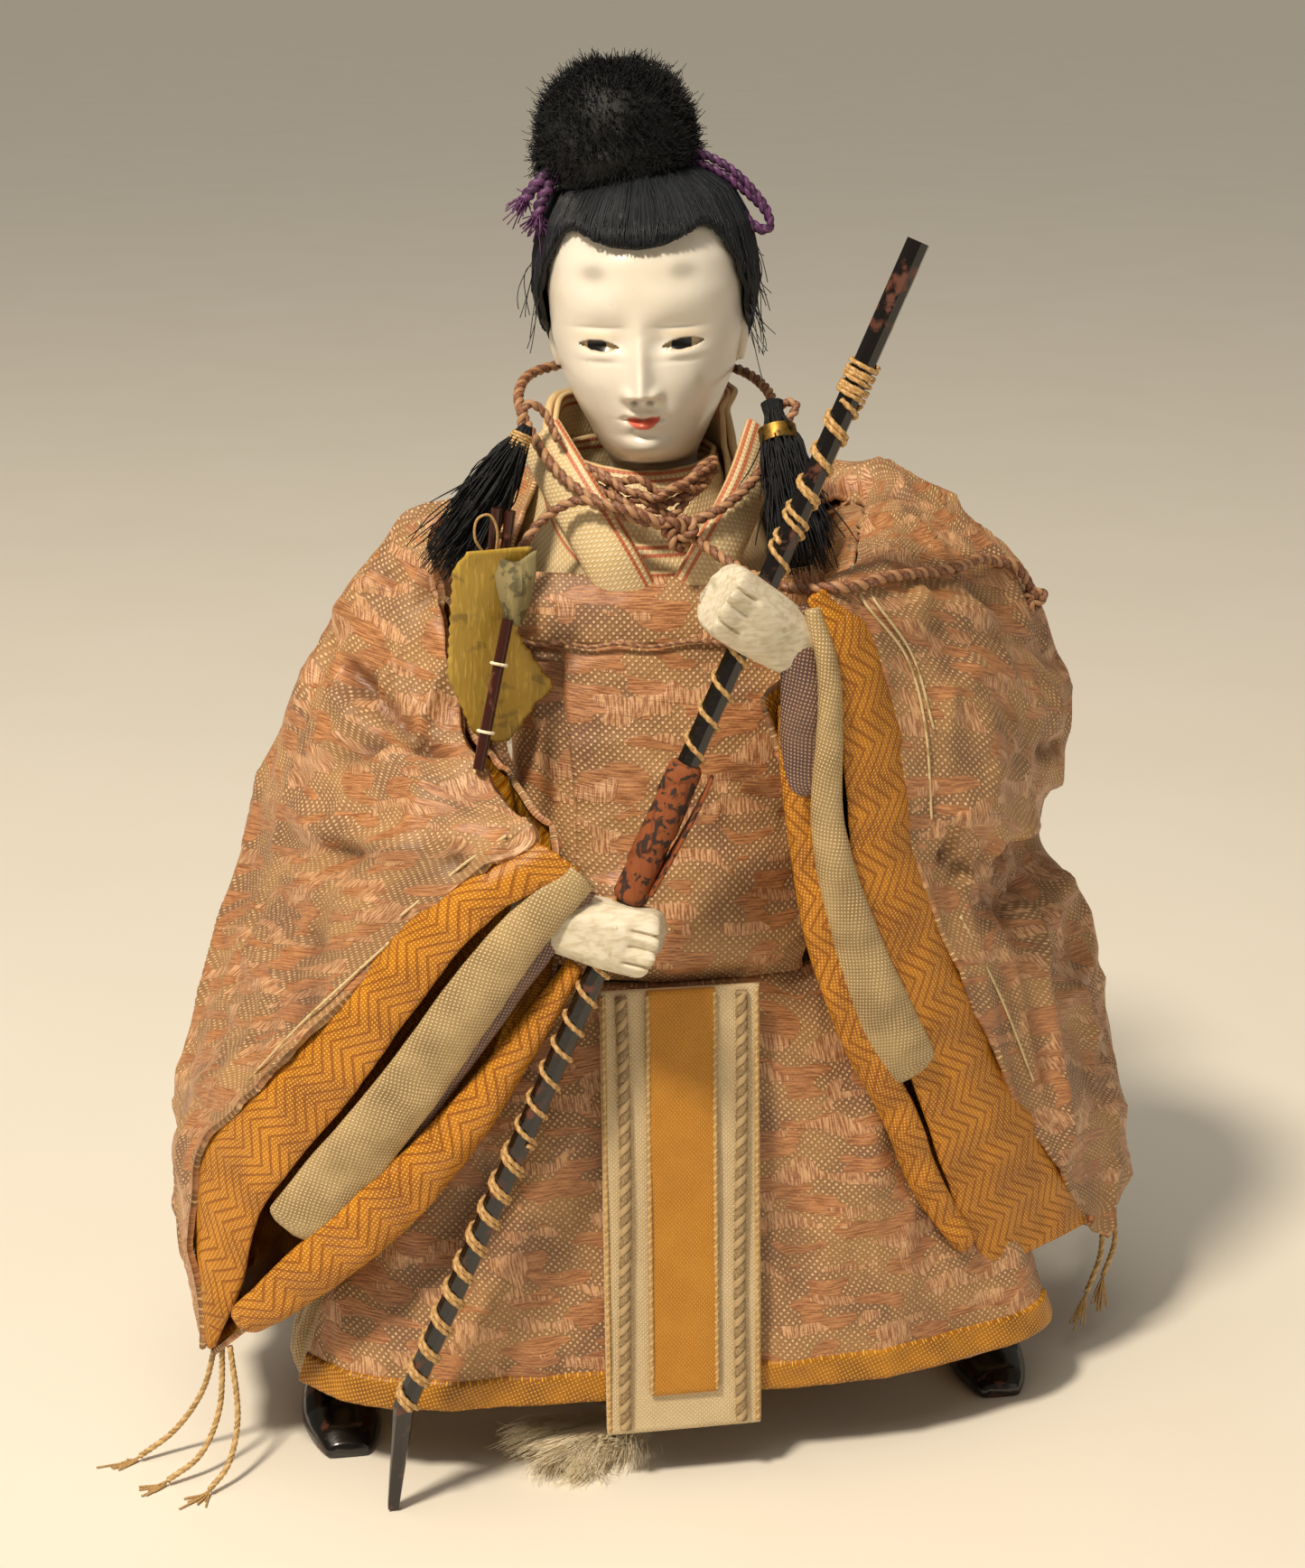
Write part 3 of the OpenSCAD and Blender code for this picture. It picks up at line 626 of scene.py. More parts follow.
def make_gofun(name):
    """Polished shell white, with the paint that the mesh carries and a few old stains."""
    p = Paint(name, Coat_Weight=0.35, Coat_Roughness=0.14, Subsurface_Weight=0.08,
              Subsurface_Scale=0.0012)
    where = p.place()
    cloud = p.noise(where, 9.0, 3.0)
    speck = p.rise(p.noise(where, 1.1, 3.0, 0.8), 0.70, 0.78)
    colour = p.mix(p.rise(cloud, 0.35, 0.75), "efe9de", "e6dece")
    colour = p.mix(p.times(speck, 0.35), colour, "a98a58")
    paint = p.mark("paint")
    colour = p.mix(paint.outputs["Alpha"], colour, paint.outputs["Color"])
    rough = p.plus(0.26, p.times(cloud, 0.12))
    return p.finish(colour, rough, p.noise(where, 2.4, 3.0), 0.03, 0.5)


def make_wood(name, ground, dark, roughness=0.6, stain=None, grain=0.5, axis=(1, 1, 0.12)):
    """Wood with its grain along the axis that is squeezed least."""
    p = Paint(name)
    where = p.place()
    lines = p.noise(p.stretched(where, *axis), grain, 4.0, 0.3)
    cloud = p.noise(where, 6.0, 2.0)
    colour = p.mix(p.rise(lines, 0.35, 0.72), ground, dark)
    if stain:
        blot = p.rise(p.noise(where, 2.2, 4.0, 0.4), 0.60, 0.80)
        colour = p.mix(p.times(blot, 0.6), colour, stain)
    colour = p.mix(p.times(p.rise(cloud, 0.5, 0.8), 0.3), colour, dark)
    return p.finish(colour, roughness, lines, 0.05)


def make_lacquer(name, ground, worn, share):
    """Gloss lacquer, rubbed through to the ground in places."""
    p = Paint(name, Coat_Weight=0.4, Coat_Roughness=0.12)
    where = p.place()
    rub = p.rise(p.noise(where, 3.0, 5.0, 0.4), share, share + 0.1)
    colour = p.mix(rub, ground, worn)
    rough = p.plus(0.22, p.times(rub, 0.35))
    return p.finish(colour, rough, p.noise(where, 0.8, 3.0), 0.04)


def make_mottled(name, ground, spots, share, size, roughness, fibres=None):
    """Leather, card or wadding: a ground with blotches of a second colour."""
    p = Paint(name)
    where = p.place()
    blot = p.rise(p.noise(where, size, 4.0, 0.5), share, share + 0.08)
    colour = p.mix(blot, ground, spots)
    fine = p.noise(where, 0.5, 3.0)
    if fibres:
        fine = p.noise(p.stretched(where, 1.6, 0.5, 0.25, 0.4), 0.7, 4.0)
        colour = p.mix(p.rise(fine, 0.5, 0.75), colour, fibres)
    return p.finish(colour, roughness, fine, 0.12)


def make_metal(name, colour, roughness):
    """Metal with dull brown patches."""
    p = Paint(name, Metallic=1.0)
    where = p.place()
    dull = p.noise(where, 1.5, 4.0)
    shade = p.mix(p.rise(dull, 0.4, 0.7), colour, "3c3024")
    return p.finish(shade, p.plus(roughness, p.times(dull, 0.3)), dull, 0.03)


def make_eye(name):
    """Glossy eye: the mesh carries how near each point is to the dark iris."""
    p = Paint(name, Coat_Weight=0.35, Coat_Roughness=0.12, Roughness=0.3)
    dark = p.rise(p.carried("iris"), 0.35, 0.55)
    tint = p.noise(p.place(), 1.0, 2.0)
    white = p.mix(tint, "c9b793", "a58f6c")
    return p.finish(p.mix(dark, white, "120e0c"))


BROCADE = make_brocade("brocade")
ORANGE = make_twill("orange_silk", "cc7e10", "ffcc4c", "9c5606", fret=0.8)
GOLD_HEM = make_twill("gold_binding", "bc7c12", "f0b440", "84500a", bead=0.7)
CREAM = make_twill("cream_silk", "b69a6a", "f4e0b0", "92764c", shade="4a3a26")
PURPLE = make_twill("purple_silk", "6e5246", "cca88c", "4c363a", shade="241a1a")
COLLAR = make_ribbed("cream_brocade", "d8bc88", "fff2d0", 0.7, 1.3, edge="c4704c")
RIBBON = make_ribbed("gold_ribbon", "b67818", "e4a840", 0.5, 0.62)
BACKING = make_ribbed("cream_backing", "ccb48a", "f6e6c2", 0.6, 0.6)
# The third colour of each cord is painted shade for the groove between its plies.
BROWN_CORD = make_cord("brown_cord", "744432", "b0845f", "2c140e")
GREY_CORD = make_cord("grey_cord", "8c7450", "bca278", "4c3c28")
STRAW_CORD = make_cord("straw_thread", "b08a52", "d8b67c", "6c4c28")
PURPLE_CORD = make_cord("purple_cord", "3a1a42", "643868", "160a1c")
CANE = make_cord("cane", "a87c44", "d4ae74", "5c3c1c")
HAIR = make_hair("black_hair", "07080b", "15171c", 0.5)
CAP_HAIR = make_hair("combed_hair", "0e1014", "2a2f37", 0.4)
GOFUN = make_gofun("gofun")
EYE = make_eye("eye_glass")
HAND = make_wood("carved_wood", "e0d8c4", "c8ba9c", 0.55, stain="7c7456", grain=0.6,
                 axis=(0.3, 1, 1))
BARE_WOOD = make_wood("bare_wood", "c39f6c", "a07a48", 0.65)
DARK_WOOD = make_wood("dark_wood", "4c3424", "2c1c12", 0.6, axis=(0.1, 1, 1))
LACQUER = make_lacquer("black_lacquer", "110d0c", "5c3020", 0.58)
STICK = make_lacquer("brown_lacquer", "3c1a12", "6c3a28", 0.6)
LEATHER = make_mottled("red_leather", "8e4c22", "33221a", 0.49, 1.3, 0.8, fibres="7a3a1c")
CARD = make_mottled("gilt_card", "ac8c30", "8a7028", 0.56, 2.6, 0.46, fibres="ccac4c")
GREY_CARD = make_mottled("card_back", "8c8058", "5c5438", 0.52, 2.0, 0.8, fibres="a09468")
STRAW = make_mottled("straw", "c4aa64", "8a7038", 0.52, 1.4, 0.75, fibres="dcc888")
WADDING = make_mottled("wadding", "e2dccc", "c4bca8", 0.55, 2.0, 0.9)
ARM_PAPER = make_mottled("arm_paper", "7c5c4e", "5c4038", 0.5, 2.0, 0.8)
FIBRE = make_mottled("pale_fibre", "f8ecd0", "e4d4ac", 0.55, 2.0, 0.85)
BASTING = make_mottled("basting_thread", "dac69a", "b89c68", 0.55, 2.0, 0.7)
DARK_SILK = make_mottled("dark_silk", "3a2622", "1e1412", 0.5, 1.2, 0.7)
IRON = make_metal("iron_wire", "5c5854", 0.4)
BRASS = make_metal("brass_band", "a8823c", 0.32)


# ---------------------------------------------------------------- neck cord

TAIL = [
    [2.4, -24.4, 126.4], [4.6, -29, 125.2], [8.4, -34.4, 123.4], [13, -39.6, 122.8],
    [16.4, -42.6, 123.8], [19.7, -41.5, 123.4], [27.3, -36, 123], [36.4, -28.6, 122.4],
    [43.9, -20.5, 121.6], [47.8, -16.4, 117.3], [48.8, -15.4, 113.6],
]
NECK = [
    [1.5, -24, 128], [7, -22.2, 130], [12.4, -17.4, 133.4], [15.6, -10, 137.4],
    [16.6, 0, 141], [12.4, 9.6, 143], [0, 15.4, 143.4], [-12.6, 9.8, 143],
    [-17, 0, 141.4], [-16.4, -9.6, 137.6], [-13, -17.4, 133], [-7, -22.4, 129.6],
    [-1.5, -24, 128],
]
CORD_R = 0.75


def knot(name, place, radius, body, material, cord_r, replaces=()):
    """Overhand knot: a trefoil run of cord drawn tight."""
    t = np.linspace(0, 2 * np.pi, 90)
    loop = np.stack([np.sin(t) + 2 * np.sin(2 * t), 0.7 * -np.sin(3 * t),
                     np.cos(t) - 2 * np.cos(2 * t)], axis=1)
    path = np.array(place) + loop * (radius - cord_r) / 2.4
    return twisted(name, path, cord_r, body, material, replaces, pitch=2.6)


def laid_on(path, grid, lift):
    """The same path, with each point lifted off the nearest place of a grid."""
    n = normals_of(grid, from_middle(grid)).reshape(-1, 3)
    spots = grid.reshape(-1, 3)
    near = np.array([np.argmin(((spots - p) ** 2).sum(axis=1)) for p in path])
    return spots[near] + n[near] * lift


def make_neck_cords():
    """Loop round the neck, its knot, and the two ends over the doll's shoulders."""
    path = route(TAIL, 0.3)
    on_cloth = smooth((path[:, 0] - 16) / 5)[:, None]
    path = path * (1 - on_cloth) + laid_on(path, left_bag, 0.95) * on_cloth
    taut = np.stack([running_mean(path[:, k], 13) for k in range(3)], axis=1)
    path = evenly(taut, len(taut))
    tail = twisted("neck_cord_tail_silk", path, CORD_R, "torso", BROWN_CORD,
                   ["neck_cord_tail"])
    end = knot("tail_knot", path[-1], 1.7, "torso", BROWN_CORD, 0.62)
    twisted("neck_cord_loop", route(NECK, 0.3), CORD_R, "torso", BROWN_CORD,
            ["neck_cord"])
    knot("throat_knot_silk", (0.4, -25.2, 127.4), 2.4, "torso", BROWN_CORD, 0.75,
         ["throat_knot"])
    second = [[-1.6, -25.4, 128.6], [-7, -24.6, 130.6], [-12, -21.4, 131], [-16, -20.4, 128.8],
              [-19, -21.6, 125.6], [-20.4, -23.4, 122.4], [-20.6, -24.4, 119.6]]
    twisted("neck_cord_end", route(second, 0.3), 0.7, "torso", BROWN_CORD)


# ---------------------------------------------------------------- body and robe

# Height, half width, front depth, back depth and squareness of the padded body
BODY = np.array([
    [0, 57, 37.5, 34, 3.6], [12, 56.5, 37, 34, 3.6], [25, 52, 36.3, 33, 3.4],
    [45, 43, 34.8, 30, 3.0], [62, 32, 33, 27, 2.7], [72, 25, 31.5, 25, 2.5],
    [90, 24, 28.5, 22, 2.4], [106, 26, 24.5, 20, 2.4], [118, 26, 20.5, 17, 2.3],
    [127, 19, 15, 13.5, 2.2], [132, 14, 11.5, 12, 2],
])
# The same for the cone of the collars
CONE = np.array([
    [116, 17, 21.2, 15, 2], [121, 15.8, 19.6, 13.5, 2], [128, 13.6, 15.8, 12, 2],
    [134, 11.6, 12, 11.4, 2], [141, 11, 10.5, 11.6, 2],
])
# The same for the head, in its own frame
SKULL = np.array([
    [125, 5.8, 5, 6.6, 2], [131, 5.8, 5, 6.6, 2], [132.8, 6.0, 7, 7, 2], [133.5, 6.1, 11, 7.4, 2],
    [134.6, 6.7, 13.8, 7.8, 2], [136.8, 7.8, 15.5, 8.4, 2], [141, 9.9, 16.4, 9.4, 2.1],
    [145, 11.6, 16.7, 11.4, 2.15], [150, 12.7, 16.8, 13.8, 2.2], [156, 13.1, 16.8, 15.4, 2.2],
    [160, 12.8, 16.0, 15.6, 2.15], [164, 11.9, 13.8, 14.8, 2.1], [168, 9.8, 10.6, 12.2, 2],
    [170.6, 6, 6.6, 7.4, 2], [171.6, 2, 2.4, 2.4, 2],
])
HEAD_TURN, HEAD_LEAN = math.radians(-12.5), math.radians(-2.4)
HEAD_MIDDLE = np.array([0, 0, 150.0])
HEAD_AT = HEAD_MIDDLE + [0.4, 0, 0]


def section(table, z):
    """Half width, front depth, back depth and squareness at a height."""
    return [np.interp(z, table[:, 0], table[:, k]) for k in (1, 2, 3, 4)]


def oval(table, angle, z, grow):
    """Points of an oval section: angle 0 is the front, and 90 degrees the side at +X."""
    u = np.radians(angle)
    half, front, back, square = section(table, z)
    depth = np.where(np.cos(u) > 0, front, back)
    x = (half + grow) * powered(np.sin(u), 2 / square)
    y = -(depth + grow) * powered(np.cos(u), 2 / square)
    return np.stack(np.broadcast_arrays(x, y, z), axis=-1)


def panel(table, angles, low, high, rows, columns, grow):
    """Grid on an oval table. Low, high and grow may be functions of the angle and height."""
    angle = np.linspace(*angles, columns)[None, :]
    bottom = low(angle) if callable(low) else low
    top = high(angle) if callable(high) else high
    z = bottom + (top - bottom) * np.linspace(0, 1, rows)[:, None]
    offset = grow(angle, z) if callable(grow) else grow
    return oval(table, angle + 0 * z, z, offset)


def clear_of_head(grid, slack):
    """Moves a collar out of the way of the jaw and the nape, however far the head is turned."""
    away = grid - HEAD_AT
    turn, z = np.arctan2(away[..., 0], -away[..., 1]), grid[..., 2]
    half, front, back, square = section(SKULL, z)
    reach = 0 * z
    for swing in np.radians(np.arange(-40, 41, 5)):
        sin, cos = np.sin(turn + swing), np.cos(turn + swing)
        deep = np.where(cos > 0, front, back)
        share = (np.abs(sin) / half) ** square + (np.abs(cos) / deep) ** square
        reach = np.maximum(reach, share ** (-1 / square))
    hair = 1.8 * smooth((z - 138) / 2) * smooth((np.abs(turn) - 1.2) / 0.5)
    now = np.hypot(away[..., 0], away[..., 1])
    grow = np.maximum(1, (reach + hair + slack) / now)
    return HEAD_AT + away * np.stack([grow, grow, np.ones_like(grow)], axis=-1)


def outward(grid):
    """Roughly which way each point of the robe faces."""
    centre = np.array([0.0, 6.0, 0.0])
    return (grid - centre) * np.array([1, 1, 0.2])


# A fold or crease: its two ends, its width and its height
SKIRT_FOLDS = [
    (30, -30, 58, 14, -37, 16, 3.2, 0.9), (38, -28, 50, 30, -34, 14, 2.6, -0.8),
    (26, -33, 40, 46, -26, 24, 2.4, 0.8), (18, -36, 30, 40, -32, 14, 2.2, -0.7),
    (-16, -37, 56, -30, -35, 16, 3.0, 0.8), (-26, -34, 44, -42, -30, 18, 2.6, -0.8),
    (-36, -30, 36, -20, -37, 18, 2.2, 0.7), (44, -28, 30, 50, -26, 12, 2.2, 0.9),
    (-46, -28, 26, -44, -30, 12, 2.0, 0.7), (12, -37, 52, 16, -38, 20, 2.0, -0.6),
]
BACK_FOLDS = [
    (0, 27, 68, -2, 35, 8, 2.4, 1.0), (-12, 27, 66, -22, 34, 8, 2.6, -1.0),
    (14, 27, 66, 24, 34, 8, 2.6, -1.0), (-20, 24, 60, -38, 30, 10, 3.0, 1.0),
    (22, 24, 60, 38, 30, 10, 3.0, 1.0), (-8, 28, 60, -10, 35, 12, 1.8, 0.6),
    (30, 22, 50, 48, 24, 10, 2.4, -0.8), (-30, 22, 50, -48, 24, 10, 2.4, -0.8),
]
CHEST_FOLDS = [
    (-18, -22, 108, -14, -29, 84, 2.2, 1.0), (-22, -16, 104, -22, -22, 80, 2.0, -1.0),
    (20, -20, 106, 20, -26, 84, 2.2, 0.9), (-16, -28, 92, -24, -20, 78, 1.8, 0.8),
    (0, 20, 118, 0, 24, 76, 1.4, -0.8), (-10, 20, 116, -16, 22, 78, 2.4, 0.8),
    (11, 20, 116, 16, 22, 78, 2.4, 0.8), (-18, 12, 122, -22, 16, 96, 2.0, -0.8),
    (18, 12, 122, 22, 16, 96, 2.0, -0.8),
]
BIB_FOLDS = [
    (-8, -30, 100, 4, -31, 92, 1.6, 0.5), (6, -31, 98, 14, -28, 90, 1.4, -0.5),
    (-12, -33, 82, 6, -34, 86, 2.0, 0.5), (-10, -30, 108, -12, -33, 78, 1.2, -0.4),
]


LEAST_SIDE = 0.01


def cloth_sheet(piece, layers=1):
    """Reads a cloth piece's flat size off its layer of flat places, and does nothing more with it.

    Layers is 2 for a flattened tube, whose places run round both of its faces."""
    spots = np.zeros(len(piece.data.loops) * 2, np.float32)
    piece.data.uv_layers["cloth"].data.foreach_get("uv", spots)
    width, length = np.ptp(spots.reshape(-1, 2), axis=0) * MM
    width, length = max(float(width) / layers, LEAST_SIDE), max(float(length), LEAST_SIDE)


def make_skirt():
    """Front skirt with its gold binding, and the robe's back."""
    grid = panel(BODY, (-57, 63), 11.8, 69, 110, 190,
                 lambda a, z: 1.2 + 0.5 * np.sin(a * 0.14) * smooth((60 - z) / 50))
    grid, fold = creased(grid, outward(grid), SKIRT_FOLDS, 0.3, 10, seed=1, ridge=0.5)
    skirt = shell("skirt_front_brocade", grid, 0.9, outward(grid), "torso", [BROCADE, CREAM],
                  fold, ["skirt_front"])
    cloth_sheet(skirt)
    n = normals_of(grid, outward(grid))
    tall = int((grid[:, 0, 2] < 15.8).sum())
    low = grid[:tall] + n[:tall] * 0.45
    low[0] = low[1] - [0, 0, 0.5]
    # The hem carries half of the skirt's painted fold shade.
    hem = shell("skirt_hem_gold", low, 1.3, outward(low), "torso", [GOLD_HEM],
                fold[:tall] * 0.5, ["skirt_hem"])
    cloth_sheet(hem)
    back = panel(BODY, (108, 252), 4.6, 69, 110, 190, 1.2)
    back, fold = creased(back, outward(back), BACK_FOLDS, 0.4, 12, seed=2, ridge=0.8)
    robe = shell("robe_back_brocade", back, 0.9, outward(back), "torso", [BROCADE, ORANGE],
                 fold, ["robe_back"])
    cloth_sheet(robe)


def make_bodice():
    """Robe round the chest, with the bib that hangs in front and the yoke over its top."""
    grid = panel(
        BODY, (-180, 180), lambda a: 71.5 + 0 * a,
        lambda a: 116.2 + 14.8 * smooth((np.abs(a) - 40) / 36), 120, 260,
        lambda a, z: 0.9 + 1.3 * np.exp(-((z - 77) / 5) ** 2))
    grid, fold = creased(grid, outward(grid), CHEST_FOLDS, 0.3, 9, seed=3, ridge=0.7)
    bodice = shell("bodice_brocade", grid, 0.8, outward(grid), "torso", [BROCADE, WADDING],
                   fold, ["bodice"])
    cloth_sheet(bodice)

    def blouse(a, z):
        return 2.9 + 1.7 * np.exp(-((z - 76.5) / 5.5) ** 2) - 2.0 * smooth((73 - z) / 4)

    def swell(a, z):
        return 3.1 + 0.5 * np.sin((z - 113) / 7.6 * np.pi)

    grid = panel(BODY, (-25, 30.5), lambda a: 69.6 - 0.03 * a, 116, 90, 80, blouse)
    grid, fold = creased(grid, outward(grid), BIB_FOLDS, 0.25, 8, seed=4, along=(1, 0, 0.3),
                         ridge=0.45)
    bib = shell("bib_brocade", grid, 1.3, outward(grid), "torso", [BROCADE], fold,
                ["bib"])
    cloth_sheet(bib)
    grid = panel(BODY, (-43, 46), 113, lambda a: 120.8 - 0.01 * a, 30, 110, swell)
    grid, fold = creased(grid, outward(grid), (), 0.22, 5, seed=5)
    yoke = shell("yoke_brocade", grid, 1.1, outward(grid), "torso", [BROCADE], fold,
                 ["yoke"])
    cloth_sheet(yoke)
    seam = panel(BODY, (-42.6, 45.6), 113, 113.1, 2, 90, 4.0)[0]
    seam[:, 2] += 0.25 * np.sin(np.linspace(0, 40, len(seam)))
    twisted("yoke_seam", evenly(seam, 180), 0.32, "torso", BROWN_CORD, pitch=1.4,
            sides=8)


COLLAR_SHIFT = np.array([-0.8, 0, 0])


def make_collars():
    """Two cream collars, one in the other."""

    def rim(throat, side):
        return lambda a: throat + (140.6 - throat) * smooth((np.abs(a) - 14) / 110) + side * a

    for name, node, throat, grow, thick, slack in (
            ("collar_inner_silk", "collar_inner", 124.2, 0.3, 0.8, 1.0),
            ("collar_outer_silk", "collar_outer", 121.2, 1.6, 1.1, 2.2)):
        grid = panel(CONE, (-180, 180), rim(throat, 0.004), 117.0, 46, 240, grow)
        grid = grid + COLLAR_SHIFT
        grid = clear_of_head(grid, slack)
        grid, fold = creased(grid, outward(grid), (), 0.22, 6, seed=6)
        collar = shell(name, grid, thick, outward(grid), "torso", [COLLAR],
                       fold, [node])
        cloth_sheet(collar)


def make_under_collar():
    """Innermost collar, which closes the robe round the neck."""
    grid = panel(CONE, (-180, 180), lambda a: 132.6 + 1.4 * smooth(np.abs(a) / 120), 118, 40,
                 200, -1.5) + COLLAR_SHIFT
    grid, fold = creased(grid, outward(grid), (), 0.35, 4, seed=8)
    collar = shell("collar_under_silk", grid, 0.7, outward(grid), "torso", [COLLAR],
                   fold)
    cloth_sheet(collar)


def make_throat_tangle():
    """Slack turns of the neck cord, bunched in the opening of the collar."""
    draw = np.random.default_rng(91)
    for k in range(5):
        t = np.linspace(-1, 1, 9)
        x = 8.5 * t
        y = -21.6 + 6.0 * np.abs(t) ** 1.6 + draw.normal(0, 0.5, 9)
        z = 130.4 + 3.0 * np.abs(t) ** 1.4 + 0.9 * (k - 2) * (1 - 0.4 * np.abs(t))
        points = np.stack([x - 1.8, y, z + draw.normal(0, 0.6, 9)], axis=1)
        twisted(f"throat_cord_{k}", route(points, 0.3), 0.6, "torso", BROWN_CORD,
                pitch=2.4)


def crossing_band(name, points, width, lift):
    """Fold of collar from the side of the neck down to the point of the opening."""
    line = route(points, 0.4)
    count, across = len(line), 16
    along = unit(np.gradient(line, axis=0))
    face = unit(np.stack([line[:, 0] * 0.05, -np.ones(count), np.full(count, 0.35)], axis=1))
    side = unit(np.cross(along, face))
    if side[0, 2] > 0:
        side = -side
    w = np.linspace(0, 1, across)
    bulge = lift * np.sqrt(np.clip(1 - (2 * w - 1) ** 2, 0, 1)) - 1.6 * w ** 2
    grid = line[:, None] + side[:, None] * (w * width)[:, None]
    grid = np.swapaxes(grid + face[:, None] * bulge[:, None], 0, 1)
    band = shell(name, grid, 0.7, np.array([0.0, -1, 0.3]), "torso", [COLLAR])
    cloth_sheet(band)


def make_sash():
    """Backing, gold strip and couched cords of the hanging sash, in its own plane."""
    top = np.array([-1.1, -35.9, 69.5])
    lean = math.radians(4.6)
    down = np.array([0, -math.sin(lean), -math.cos(lean)])
    front = np.array([0, -math.cos(lean), math.sin(lean)])
    drop = 61.6

    def strip(low, high, half, out, sway):
        t = np.linspace(low, high, 90)[:, None, None]
        x = np.linspace(-half, half, 24)[None, :, None]
        wave = sway * (np.sin(t / 7 + x * 0.15) + 0.6 * np.sin(t / 3.1 + 1))
        return top + down * t + np.array([1.0, 0, 0]) * x + front * (out + wave)

    backing = shell("sash_backing_silk", strip(0, drop, 10.3, 0.1, 0.10), 0.6, front, "sash",
                    [BACKING], replaces=["sash_backing"])
    cloth_sheet(backing)
    ribbon = shell("sash_strip_silk", strip(0, drop - 5.4, 4.3, 0.75, 0.10), 0.5, front, "sash",
                   [RIBBON], replaces=["sash_strip"])
    cloth_sheet(ribbon)
    for k, x in enumerate((-7.8, 7.8)):
        path = top + [x, 0, 0] + down * np.linspace(0.6, drop - 0.8, 260)[:, None] + front * 0.5
        path[:, 0] += 0.25 * np.sin(np.linspace(0, 5, 260) + k)
        twisted(f"sash_cord_{k}", path, 0.85, "sash", GREY_CORD,
                ["sash_cords"] if k == 0 else (), plies=3, pitch=4.2, depth=0.16, sides=14)
    edges = ((-10.1, 0.4, 0.1), (10.1, 0.4, 0.1), (-4.4, 5.6, 0.7), (4.4, 5.6, 0.7))
    for k, (x, short, out) in enumerate(edges):
        path = top + [x, 0, 0] + down * np.linspace(0.4, drop - short, 200)[:, None]
        twisted(f"sash_selvedge_{k}", path + front * out, 0.36, "sash", STRAW_CORD,
                pitch=1.2, sides=8)


make_skirt()
make_bodice()
make_collars()
make_under_collar()
make_throat_tangle()
crossing_band("collar_cross_left", [(12.2, -10, 139), (8.2, -17.6, 133), (3.4, -21.8, 126.2),
                                    (-0.8, -21.2, 118.4)], 7.0, 0.9)
crossing_band("collar_cross_right", [(-13, -10, 139.6), (-9.6, -17.4, 133.6),
                                     (-5.2, -22.2, 126), (-1.2, -21.6, 118.4)], 7.4, 1.0)
make_sash()


# ---------------------------------------------------------------- sleeves

# Each row of a sleeve's net runs from the front lip of the mouth, over the face, the
# outer side, the back edge, the inner back and the inner side, to the rear lip.
SLEEVE_RIGHT = [
    [(-19, -8, 124), (-19.4, -4, 126.4), (-19.6, 0, 127.4), (-19, 5, 125.4),
     (-19.4, 8, 121), (-20, 2, 117), (-20.5, -6, 119.6)],
    [(-29, -8, 125.5), (-30.5, -5, 126.8), (-31.5, 0, 126.8), (-30, 6, 125),
     (-26, 8, 123), (-23, 2, 122), (-28.6, -7.6, 125)],
    [(-30.3, -13, 121.5), (-33.5, -8, 122.4), (-36, -1, 121.5), (-34, 8, 119),
     (-27, 11, 116), (-23.6, 0, 118), (-29.4, -12.6, 121)],
    [(-29, -16.5, 115.5), (-35, -12, 115.5), (-40, -3, 115), (-39, 8, 113),
     (-30, 12, 111), (-24.6, 0, 112), (-28, -16, 115)],
    [(-28, -20.5, 107.5), (-36, -15.5, 107.5), (-43.6, -5, 107), (-44, 7, 106),
     (-34, 12, 104), (-26.6, 2, 104), (-26.8, -20, 107)],
    [(-27.3, -25, 101), (-37, -21, 101.5), (-46, -7, 101), (-48, 6, 100),
     (-38, 12, 98), (-27.6, 3, 98), (-24.5, -23, 100)],
    [(-24.2, -35, 96.8), (-34.5, -31, 97), (-46.6, -12, 96), (-50, 4, 95),
     (-42, 12, 92), (-30, -2, 92), (-20, -32, 94.5)],
    [(-20.4, -43, 93), (-33, -37.5, 92.4), (-47.2, -16, 90), (-52, 3, 88),
     (-45, 12, 86), (-30, -8, 86), (-16.6, -37, 88)],
    [(-30, -42, 87.5), (-39, -34.5, 86), (-50, -12, 80), (-55, 4, 78),
     (-50, 12, 76), (-33, -12, 76), (-16.6, -39, 76)],
    [(-42, -39, 74.5), (-48.5, -29.5, 72), (-57, -6, 68), (-60, 6, 66),
     (-54, 12, 64), (-37, -14, 64), (-21.5, -39.5, 65)],
    [(-50.4, -36, 64), (-55.5, -25, 62), (-61.6, -3, 57), (-63, 8, 55),
     (-56, 13, 52), (-40, -15, 50), (-28, -38.5, 53.5)],
    [(-58, -31.5, 55), (-61.5, -20, 52), (-65.4, -2, 45), (-65.5, 9, 43),
     (-57, 12, 40), (-46, -14, 38), (-38.4, -35, 40.3)],
    [(-63.5, -26, 46), (-66, -15, 42), (-66.8, -1, 36), (-66, 8, 34),
     (-58, 10, 31), (-52, -12, 29), (-48.6, -32, 28.6)],
    [(-65, -25, 32), (-66.5, -14, 30), (-66.8, -3, 28), (-65.5, 4, 27),
     (-61, 5, 25.5), (-57, -10, 24), (-57, -28.8, 21.8)],
    [(-64.2, -26, 17.6), (-65.6, -18, 20), (-66, -8, 22), (-65.5, -1, 24),
     (-64, -1, 23.5), (-62.5, -10, 20.5), (-63.2, -26.4, 17)],
]
